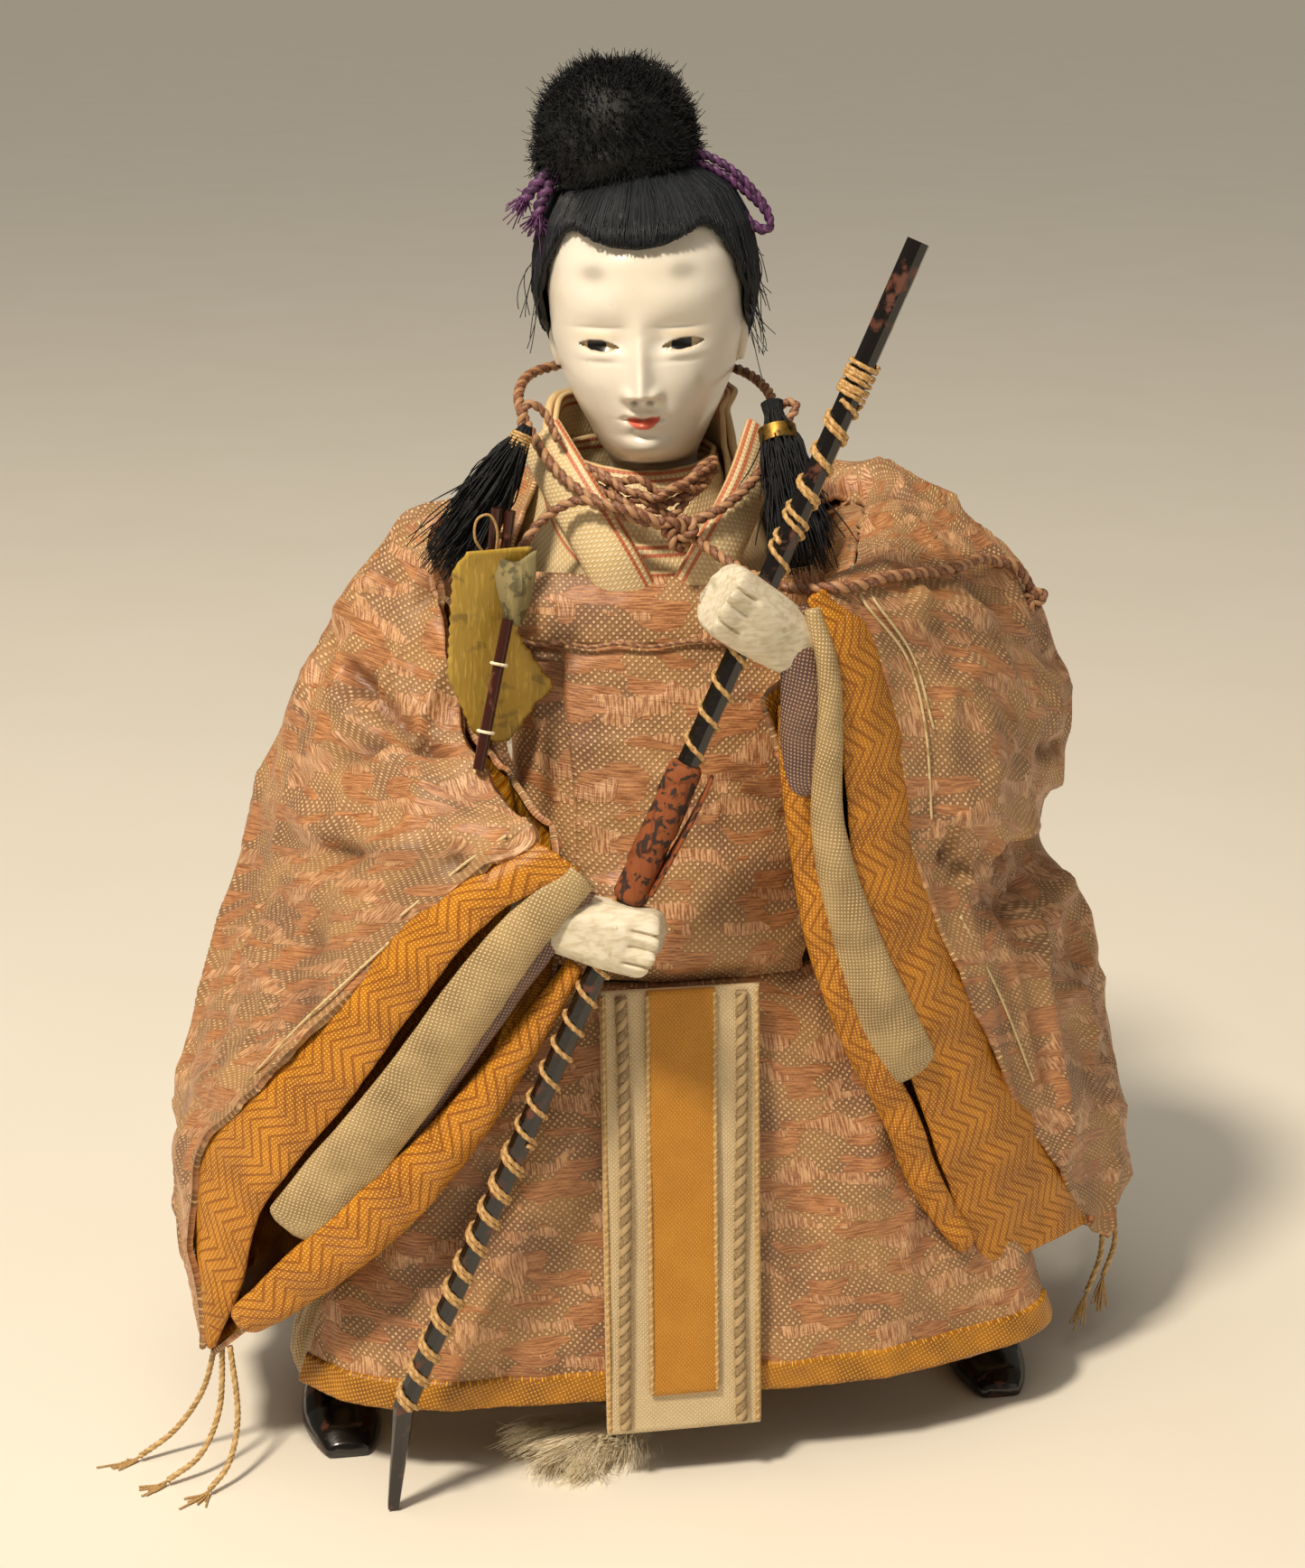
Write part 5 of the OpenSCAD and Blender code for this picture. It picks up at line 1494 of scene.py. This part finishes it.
def make_topknot():
    """Bushy bundle of cut hair round a dark core."""
    z = np.linspace(168.4, 184, 40)
    turn = around(64)
    r = np.interp(z, TOPKNOT[:, 0], TOPKNOT[:, 1])[:, None] * np.ones(64)
    core = np.stack([r * np.cos(turn), r * np.sin(turn), z[:, None] + 0 * r], axis=-1)
    core = core * [0.93, 0.93, 1] + TOPKNOT_AT
    core = core + lumps(core, 2.0, 4)[..., None] * 0.4
    lofted("topknot_core", core, "head", HAIR, ["topknot"],
           {"strand": np.full(core[..., 0].size, 0.1)})
    count = 8000
    z = 168.8 + 15.0 * random.random(count) ** 0.9
    turn = random.uniform(0, 2 * np.pi, count)
    r = np.interp(z, TOPKNOT[:, 0], TOPKNOT[:, 1]) * 0.92
    root = np.stack([r * np.cos(turn), r * np.sin(turn), z], axis=-1)
    root = root * (1 + 0.05 * lumps(root, 4.5, 3)[:, None] * [1, 1, 0]) + TOPKNOT_AT
    out = unit(np.stack([np.cos(turn) * 9, np.sin(turn) * 9, (z - 175.4) * 1.1], axis=-1))
    comb = np.array([0.1, -0.1, 0.75])
    comb = comb * np.where(z < 171.5, -1.3, 1.0)[:, None]
    out = out + comb * random.uniform(0.0, 1.1, (count, 1))
    aim = unit(out + random.normal(0, 0.34, (count, 3)))
    reach = random.uniform(0.5, 1.5, (count, 1, 1))
    reach = reach * np.where(random.random((count, 1, 1)) < 0.08, 1.6, 1)
    t = np.linspace(0, 1, 5)[None, :, None]
    curl = random.normal(0, 0.22, (count, 1, 3)) * t ** 2
    paths = root[:, None] + (aim[:, None] * t * 1.1 + curl) * reach
    paths[..., 2] = np.minimum(paths[..., 2], 185.6)
    radii = 0.085 * (1 - 0.5 * np.linspace(0, 1, 5))[None] * np.ones((count, 1))
    tubes("topknot_hair", paths, radii, 3, "head", HAIR,
          marks={"strand": random.random((count, 1)) ** 3})


def make_hair_cord():
    """Purple cord round the foot of the topknot: a loop at the left, two ends at the right."""
    turn = np.linspace(0, 2 * np.pi, 70)
    band = np.stack([8.0 * np.cos(turn), 8.0 * np.sin(turn), 171.5 + 0 * turn], axis=-1)
    twisted("hair_cord_band", evenly(band + TOPKNOT_AT, 200), 0.75, "head", PURPLE_CORD,
            ["hair_cord"], pitch=2.6)
    for k, lift in enumerate((0.0, 1.3)):
        loop = [(4.6, -1.6, 171.6 + lift), (8.4, -2.6, 170.6 + lift),
                (12.0, -3.6, 168.2 + lift), (15.2, -4.2, 165.2 + lift * 0.4),
                (15.8, -4.4, 163.0), (13.8, -4.4, 163.4 - lift * 0.3),
                (10.6, -3.8, 166.4 - lift * 0.4), (7.0, -2.8, 169.0 - lift * 0.4)]
        twisted(f"hair_cord_loop_{k}", route(loop, 0.22), 0.62, "head", PURPLE_CORD,
                pitch=2.4)
    ends = ([(-11.4, -1, 170.6), (-13.6, -2.6, 169.8), (-15.2, -3, 168.2), (-16.4, -3.2, 166.8)],
            [(-11.2, -1.2, 170.4), (-13, -3, 168.6), (-14.2, -3.4, 166.4), (-14.6, -3.6, 164.6)])
    for k, end in enumerate(ends):
        path = route(end, 0.22)
        twisted(f"hair_cord_end_{k}", path, 0.9, "head", PURPLE_CORD, pitch=2.6)
        draw = np.random.default_rng(50 + k)
        aim = unit(path[-1] - path[-5]) + draw.normal(0, 0.5, (70, 3))
        t = np.linspace(0, 1, 5)[None, :, None]
        start = path[-3] + draw.normal(0, 0.3, (70, 1, 3))
        hair = start + aim[:, None] * t * draw.uniform(1, 2.2, (70, 1, 1))
        tubes(f"hair_cord_fray_{k}", hair, 0.10, 3, "head", PURPLE_CORD,
              marks={"ply": 1.0})


make_head()
make_eyes()
make_ears()
make_hair_cap()
make_topknot()
make_hair_cord()


# ---------------------------------------------------------------- hands

def make_hand(name, wrist, tip, up, half_tall, half_deep, node, seed):
    """Carved fist: a tapered block whose fingers are grooves in its end."""
    wrist, tip = np.array(wrist, float), np.array(tip, float)
    axis = unit(tip - wrist)
    reach = np.linalg.norm(tip - wrist)
    up = unit(np.array(up) - (np.array(up) @ axis) * axis)
    front = np.cross(axis, up)
    front = front if front[1] < 0 else -front
    s = np.concatenate([[0, 0.004], np.linspace(0.02, 0.97, 70), [0.985, 0.996, 1.0]])
    turn = around(120)
    tall = half_tall * (0.80 + 0.20 * smooth(s / 0.75))
    deep = half_deep * (0.72 + 0.28 * smooth(s / 0.7))
    ends = np.interp(s, [0, 0.004, 0.02, 0.955, 0.985, 0.996, 1.0],
                     [0.93, 0.97, 1, 1, 0.965, 0.92, 0.86])
    w = (tall * ends)[:, None] * powered(np.sin(turn), 0.5)
    d = (deep * ends)[:, None] * powered(np.cos(turn), 0.5)
    grooves = sum(np.exp(-((w - k * half_tall) / 0.27) ** 2) for k in (-0.5, 0.0, 0.46))
    on_front = smooth((d / deep[:, None] - 0.3) / 0.4)
    fingers = smooth((s - 0.76) / 0.07)[:, None]
    d = d - 0.75 * grooves * fingers * on_front
    d = d - 0.9 * smooth((w / half_tall - 0.35) / 0.5) * on_front
    d = d - 0.3 * smooth((-w / half_tall - 0.5) / 0.3) * on_front
    slope = 0.07 * (w - 0.4) ** 2 * smooth((s - 0.7) / 0.3)[:, None]
    along = s[:, None] * reach - slope - 0.5 * grooves * smooth((s - 0.93) / 0.05)[:, None]
    rings = wrist + axis * along[..., None] + up * w[..., None] + front * d[..., None]
    facets = 0.14 * lumps(rings, 3.6, seed) + 0.02 * lumps(rings, 1.1, seed + 1)
    rings = rings + (front * np.sign(d)[..., None]) * facets[..., None]
    return lofted(name, rings, "torso", HAND, [node], sharp=40)


make_hand("hand_right_carved", wrist=(-23.0, -39.8, 83.0), tip=(-5.2, -46.0, 79.3),
          up=(0.2, 0, 1), half_tall=4.3, half_deep=3.3, node="hand_right", seed=5)
make_hand("hand_left_carved", wrist=(16.6, -40.6, 113.2), tip=(1.4, -45.6, 124.2),
          up=(0.58, 0, 1), half_tall=4.5, half_deep=3.4, node="hand_left", seed=8)


# ---------------------------------------------------------------- bow

BOW_FOOT = np.array([-38.8, -43, 15.6])
BOW_LEAN = math.radians(23.4)
STAVE_R, GRIP_R, GRIP_AT, GRIP_L = 1.45, 2.25, 75.3, 19.0
GRIP_TOP, WRAP_TOP = GRIP_AT + GRIP_L, 142.6


def on_bow(points):
    """From the bow's own frame, with +Z up the stave, to the row frame."""
    p = np.asarray(points, float)
    c, s = math.cos(BOW_LEAN), math.sin(BOW_LEAN)
    return np.stack([p[..., 0] * c + p[..., 2] * s, p[..., 1], p[..., 2] * c - p[..., 0] * s],
                    axis=-1) + BOW_FOOT


def winding(low, high, pitch, radius, start=0.0):
    """Helix round the stave, in the row frame."""
    turns = (high - low) / pitch
    t = np.linspace(0, turns * 2 * np.pi, max(int(turns * 26), 8))
    z = low + (high - low) * t / t[-1]
    z = z + 0.18 * np.sin(t / 3) * np.minimum(1, (t[-1] - t) / 6)
    x, y = radius * np.cos(t + start), -radius * np.sin(t + start)
    return on_bow(np.stack([x, y, z], axis=1))


def make_bow():
    """Cane wound round the stave, the leather of the grip and its loose flap."""
    for name, low, high, pitch, start, nodes in (
            ("lower", 0.7, 74.7, 4.0, 0, ["bow_wraps"]), ("second", 0.8, 40.8, 4.0, 1.2, ()),
            ("upper", GRIP_TOP + 0.8, WRAP_TOP, 4.3, 0, ()), ("top", 124, WRAP_TOP, 3.7, 2.2, ())):
        twisted(f"bow_wraps_{name}", winding(low, high, pitch, STAVE_R + 0.16, start), 0.38,
                "bow", CANE, nodes, pitch=1.3, sides=8)
    twisted("bow_top_coil", winding(143.2, 147.6, 0.62, STAVE_R + 0.3), 0.33, "bow", CANE,
            ["bow_top_binding"], pitch=1.2, sides=8)
    z = np.linspace(GRIP_AT, GRIP_TOP, 60)
    turn = around(48)
    lap = np.mod(turn[None] - z[:, None] * 2 * np.pi / 9.5, 2 * np.pi) / (2 * np.pi)
    drawn_in = np.interp(z, [GRIP_AT, GRIP_AT + 0.5, GRIP_TOP - 0.5, GRIP_TOP], [0.82, 1, 1, 0.8])
    r = (GRIP_R - 0.25 + 0.30 * lap ** 0.6) * drawn_in[:, None]
    rings = np.stack([r * np.cos(turn), r * np.sin(turn), z[:, None] + 0 * r], axis=-1)
    lofted("bow_grip_leather", on_bow(rings), "bow", LEATHER, ["bow_grip"])
    t, x = np.meshgrid(np.linspace(0, 1, 26), np.linspace(-1, 1, 10), indexing="ij")
    flap = np.stack([2.1 + 1.5 * np.sin(t * 1.5) + 0.25 * x * t, -1.0 + 0.5 * x + 0.4 * t,
                     GRIP_AT + 2 + 16.5 * t + 0 * x], axis=-1)
    flap[..., 1] += 0.9 * x * (1 - 0.35 * t)
    leather = shell("bow_grip_flap", on_bow(flap), 0.45, np.array([1.0, -0.4, 0]), "bow", [LEATHER])
    cloth_sheet(leather)


make_bow()


# ---------------------------------------------------------------- quiver, tassels, small things

def make_quiver():
    """Torn gilt card, bent and turned over at its top, with a wire loop for the sticks."""
    z = np.linspace(12.6, -13.4, 90)
    left = np.interp(z, [-13.4, -11.6, -3.8, 5, 10.4, 12.6], [-0.4, -3.4, -6.6, -6.1, -5.8, -4.0])
    right = np.interp(z, [-13.4, -11.4, -8.6, -6.4, -2, 1.2, 8, 12.6],
                      [1.2, 2.8, 4.6, 6.8, 4.0, 2.2, 2.6, 3.8])
    right = right + 0.16 * np.sin(z * 3.1) + 0.10 * np.sin(z * 7.7)
    left = left + 0.10 * np.sin(z * 4.3)
    t = np.linspace(0, 1, 26)[None, :]
    x = left[:, None] + (right - left)[:, None] * t
    y = 0.9 * np.sin(x * 0.33) + 0.25 * lumps(np.stack([x, 0 * x, z[:, None] + 0 * x], -1), 5, 2)
    grid = np.stack([x, y - 0.19 * z[:, None], z[:, None] + 0 * x], axis=-1) + [-22.8, -27.2, 114]
    card = shell("quiver_card", grid, 0.6, np.array([0, -1.0, 0.2]), "torso", [CARD, GREY_CARD],
                 replaces=["quiver_board"])
    cloth_sheet(card)
    net = [[(-23.6, -28.6, 125.8), (-21.0, -30.2, 125.2), (-18.2, -29.2, 126.4)],
           [(-23.4, -29.2, 122.4), (-21.0, -31.0, 121.6), (-18.6, -29.8, 122.6)],
           [(-22.4, -28.8, 118.0), (-21.0, -29.6, 117.0), (-19.8, -29.0, 117.6)]]
    fold = refine(net, 20, 20)
    flap = shell("quiver_fold", fold, 0.5, np.array([0, -1.0, 0.2]), "torso",
                 [GREY_CARD, CARD])
    cloth_sheet(flap)
    wire = route([(-24, -26.4, 125), (-25.6, -26.8, 127.6), (-25.4, -26.6, 130),
                  (-23.8, -26.4, 130.6), (-22.8, -26.2, 128.6), (-23, -26.2, 125.6)], 0.3)
    tubes("quiver_wire", wire[None], 0.18, 8, "torso", STRAW_CORD)


ACROSS = (0.2, 0.9, 0.3)  # a direction across both tassels


def make_tassel(side, top, bottom, spread, count, seed, bend, crown=0.7):
    """Bundle of black hair: tied at its head, loose and uneven at its cut end.

    Crown is its radius where it is tied, and spread the radius at its end."""
    draw = np.random.default_rng(seed)
    top, bottom = np.array(top), np.array(bottom)
    axis = unit(bottom - top)
    a = unit(np.cross(axis, ACROSS))
    b = np.cross(axis, a)
    ring = np.sqrt(draw.random(count))[:, None]
    turn = draw.uniform(0, 2 * np.pi, count)[:, None]
    t = np.linspace(0, 1, 12)[None]
    reach = np.linalg.norm(bottom - top) * draw.uniform(0.5, 1.08, (count, 1))
    wide = np.interp(t, [0, 0.10, 0.2, 0.5, 1], [crown, 1.1, 1.3, spread * 0.75, spread]) * ring
    flare = draw.normal(0, 0.35, (count, 1)) * t ** 2
    flare += (draw.random((count, 1)) < 0.10) * draw.normal(0, 2.4, (count, 1)) * t ** 2
    x = wide * np.cos(turn) + flare
    y = wide * np.sin(turn) + draw.normal(0, 0.3, (count, 1)) * t ** 2
    paths = top + axis * (reach * t)[..., None] + a * x[..., None] + b * y[..., None]
    paths = paths + np.array(bend) * (t ** 2)[..., None]
    phase = draw.uniform(0, 6.3, (count, 1))
    wander = draw.normal(0, 0.34, (count, 1, 3))
    paths = paths + wander * (t * np.sin(t * 9 + phase))[..., None]
    radii = 0.13 * np.interp(t, [0, 0.8, 1], [1, 0.9, 0.5]) * np.ones((count, 1))
    tubes(f"tassel_{side}_hair", paths, radii, 4, f"tassel_{side}", HAIR,
          [f"tassel_{side}"], marks={"strand": draw.random((count, 1)) ** 2})


def make_whipping(side, top, end, low, high, radius):
    """Thread wound round a tassel's head, from low to high mm below its top."""
    top, axis = np.array(top), unit(np.array(end) - np.array(top))
    turns = 6
    turn = np.linspace(0, 2 * np.pi * turns, 150)
    a = unit(np.cross(axis, ACROSS))
    b = np.cross(axis, a)
    path = top + axis * (low + (high - low) * turn / turn[-1])[:, None] + radius * (
        np.cos(turn)[:, None] * a + np.sin(turn)[:, None] * b)
    twisted(f"tassel_{side}_whipping", path, 0.24, f"tassel_{side}", STRAW_CORD,
            pitch=0.9, sides=8)


def make_tassels():
    """Hair tassels beside the cheeks, each on its string."""
    right_top, right_end = (-17.6, -14.5, 139.6), (-27, -17, 122.4)
    left_top, left_end = (14.4, -14.3, 141.7), (16, -26, 123.6)
    make_tassel("right", right_top, right_end, spread=3.6, count=620, seed=61,
                bend=(-1.6, 0, -0.6))
    make_tassel("left", left_top, left_end, spread=3.7, count=700, seed=62, bend=(0.6, 0, 0),
                crown=1.4)
    make_whipping("right", right_top, right_end, low=1.2, high=3.6, radius=1.25)
    strings = {
        "right": [(-13.6, -15, 137.6), (-15.2, -13.6, 141), (-17.2, -13.6, 142.2),
                  (-18.2, -14.2, 140.4), (-18.4, -14.8, 137.4)],
        "left": [(14.8, -12, 138.4), (16.2, -13.4, 141.4), (17.6, -14.6, 141.2),
                 (16.4, -15.4, 139.6), (15.2, -15.8, 138.6)],
    }
    for side, points in strings.items():
        twisted(f"tassel_{side}_string", route(points, 0.25), 0.62, f"tassel_{side}",
                BROWN_CORD, pitch=2.4)


# Each leg's side, name and place on the ground
LEGS = ((-1, "right", -46.5, -17), (1, "left", 48, -15.5))


def make_shoes():
    """Black lacquered shoes with a rounded toe and a low tongue."""
    for side, name, x, y in LEGS:
        s = np.linspace(0, 1, 44)
        turn = around(48)
        half = 5.5 * np.sin(np.pi * np.clip(0.06 + 0.88 * s, 0, 1)) ** 0.42
        tall = np.interp(s, [0, 0.12, 0.4, 0.62, 0.85, 1], [2.0, 3.6, 3.9, 6.2, 7.0, 4.0])
        px = half[:, None] * powered(np.cos(turn), 0.8)
        up = powered(np.sin(turn), 0.8)
        pz = np.where(up > 0, up, up * 0.25) * tall[:, None] * 0.78 + tall[:, None] * 0.2
        rings = np.stack([px + x - side * 0.8 * (1 - s)[:, None],
                          (y - 11 + 20.6 * s)[:, None] + 0 * px, np.maximum(pz, 0.02)], axis=-1)
        lofted(f"shoe_{name}_lacquer", rings, "torso", LACQUER, [f"shoe_{name}"])


def make_trousers():
    """Bloused silk legs, gathered above the shoes."""
    for side, name, x, y in LEGS:
        z = np.linspace(0, 1, 60)
        turn = np.linspace(0, 2 * np.pi, 145)
        r = np.interp(z, [0, 0.05, 0.14, 0.3, 0.6, 1], [4.2, 5.6, 7.0, 7.6, 6.8, 4.6])[:, None]
        pleat = 0.40 * np.sin(turn * 13 + 2.0 * z[:, None]) + 0.2 * np.sin(turn * 29)
        r = r + pleat * (0.4 + 0.6 * np.sin(np.pi * z))[:, None]
        height = 7.6 + 25 * z
        shift = -side * 0.33 * (height - 8.6)
        grid = np.stack([x + shift[:, None] + r * np.cos(turn), y + r * np.sin(turn) * 0.96,
                         height[:, None] + 0 * r], axis=-1)
        centre = np.stack([x + shift, y + 0 * shift, height], axis=-1)[:, None]
        # The hollows of the pleats get painted shade through the fold mark.
        leg = shell(f"hakama_{name}_silk", grid, 0.6, grid - centre, "torso", [CREAM],
                    np.clip(-pleat, 0, 1) + 0 * r, [f"hakama_{name}"])
        cloth_sheet(leg)


def make_tuft():
    """Loose pale wadding that has slipped out under the front of the robe."""
    draw = np.random.default_rng(71)
    count, locks = 5200, 22
    lock = draw.integers(0, locks, count)
    root = np.stack([draw.uniform(-16, -5, locks), draw.uniform(-32, -27, locks),
                     draw.uniform(0.8, 3.0, locks)], axis=-1)[lock]
    root = root + draw.normal(0, 0.7, (count, 3))
    aim = np.stack([draw.normal(-0.9, 0.6, locks), draw.normal(-1.0, 0.4, locks),
                    draw.normal(0.0, 0.2, locks)], axis=-1)[lock]
    aim = unit(aim + draw.normal(0, 0.16, (count, 3)))
    t = np.linspace(0, 1, 9)[None, :, None]
    curl = draw.normal(0, 1.3, (locks, 1, 3))[lock] * np.sin(t * 3.4)
    curl = curl + draw.normal(0, 0.5, (count, 1, 3)) * np.sin(t * 2.2)
    paths = root[:, None] + aim[:, None] * t * draw.uniform(3, 9.5, (count, 1, 1)) + curl
    paths[..., 2] = np.clip(np.abs(paths[..., 2]), 0.15, 5)
    tubes("wadding_tuft_fibres", paths, 0.03, 3, "torso", FIBRE, ["wadding_tuft"])


# Loose threads on each sleeve, as shares of its net's rows and columns
BASTING_LINES = {
    "left": ([(0.235, 0.02), (0.32, 0.05), (0.40, 0.055), (0.47, 0.05), (0.56, 0.045)],
             [(0.25, 0.035), (0.33, 0.062), (0.40, 0.068), (0.47, 0.062)],
             [(0.66, 0.06), (0.73, 0.055), (0.80, 0.05)]),
    "right": ([(0.62, 0.03), (0.69, 0.035), (0.76, 0.05)],
              [(0.50, 0.05), (0.55, 0.06), (0.60, 0.065)]),
}


def make_basting():
    """Threads of the basting that still lie on the sleeves' front edges."""
    lift = 0.25
    for side, bag in (("left", left_bag), ("right", right_bag)):
        n = normals_of(bag, from_middle(bag))
        rows, columns = bag.shape[:2]
        for k, places in enumerate(BASTING_LINES[side]):
            picks = [(int(r * (rows - 1)), int(c * (columns - 1))) for r, c in places]
            points = [bag[i, j] + n[i, j] * lift for i, j in picks]
            tubes(f"basting_{side}_{k}", route(points, 0.4)[None], 0.19, 6, "torso", BASTING)


def finish_cad_nodes():
    """Gives each CAD node that stays in view its own finish."""
    finishes = {
        "base_board": DARK_WOOD, "seat_block": BARE_WOOD, "straw_core": STRAW, "core_ties": STRAW,
        "body_padding": WADDING, "leg_right": BARE_WOOD, "leg_left": BARE_WOOD,
        "waist_belt": DARK_SILK, "arm_wire_right": IRON, "arm_wire_left": IRON,
        "arm_padding_right": ARM_PAPER, "arm_padding_left": ARM_PAPER, "bow_stave": LACQUER,
        "quiver_arrows": STICK, "arrow_ties": FIBRE, "tassel_band": BRASS, "neck_peg": BARE_WOOD,
    }
    for node, material in finishes.items():
        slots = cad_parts[node].data.materials
        if not slots:
            slots.append(material)
        for k in range(len(slots)):
            slots[k] = material


make_quiver()
make_tassels()
make_shoes()
make_trousers()
make_tuft()
make_basting()
finish_cad_nodes()


# ---------------------------------------------------------------- floor

def make_floor():
    """Wide sheet of pale paper."""
    mesh = bpy.data.meshes.new("floor")
    half = 40.0
    mesh.from_pydata([(-half, -half, 0), (half, -half, 0), (half, half, 0), (-half, half, 0)], [],
                     [(0, 1, 2, 3)])
    floor = bpy.data.objects.new("floor", mesh)
    bpy.context.scene.collection.objects.link(floor)
    p = Paint("floor_paper")
    tint = p.noise(p.place(), 60.0, 3.0)
    mesh.materials.append(p.finish(p.mix(tint, "f0ebe0", "eae4d6"), roughness=0.85))


make_floor()
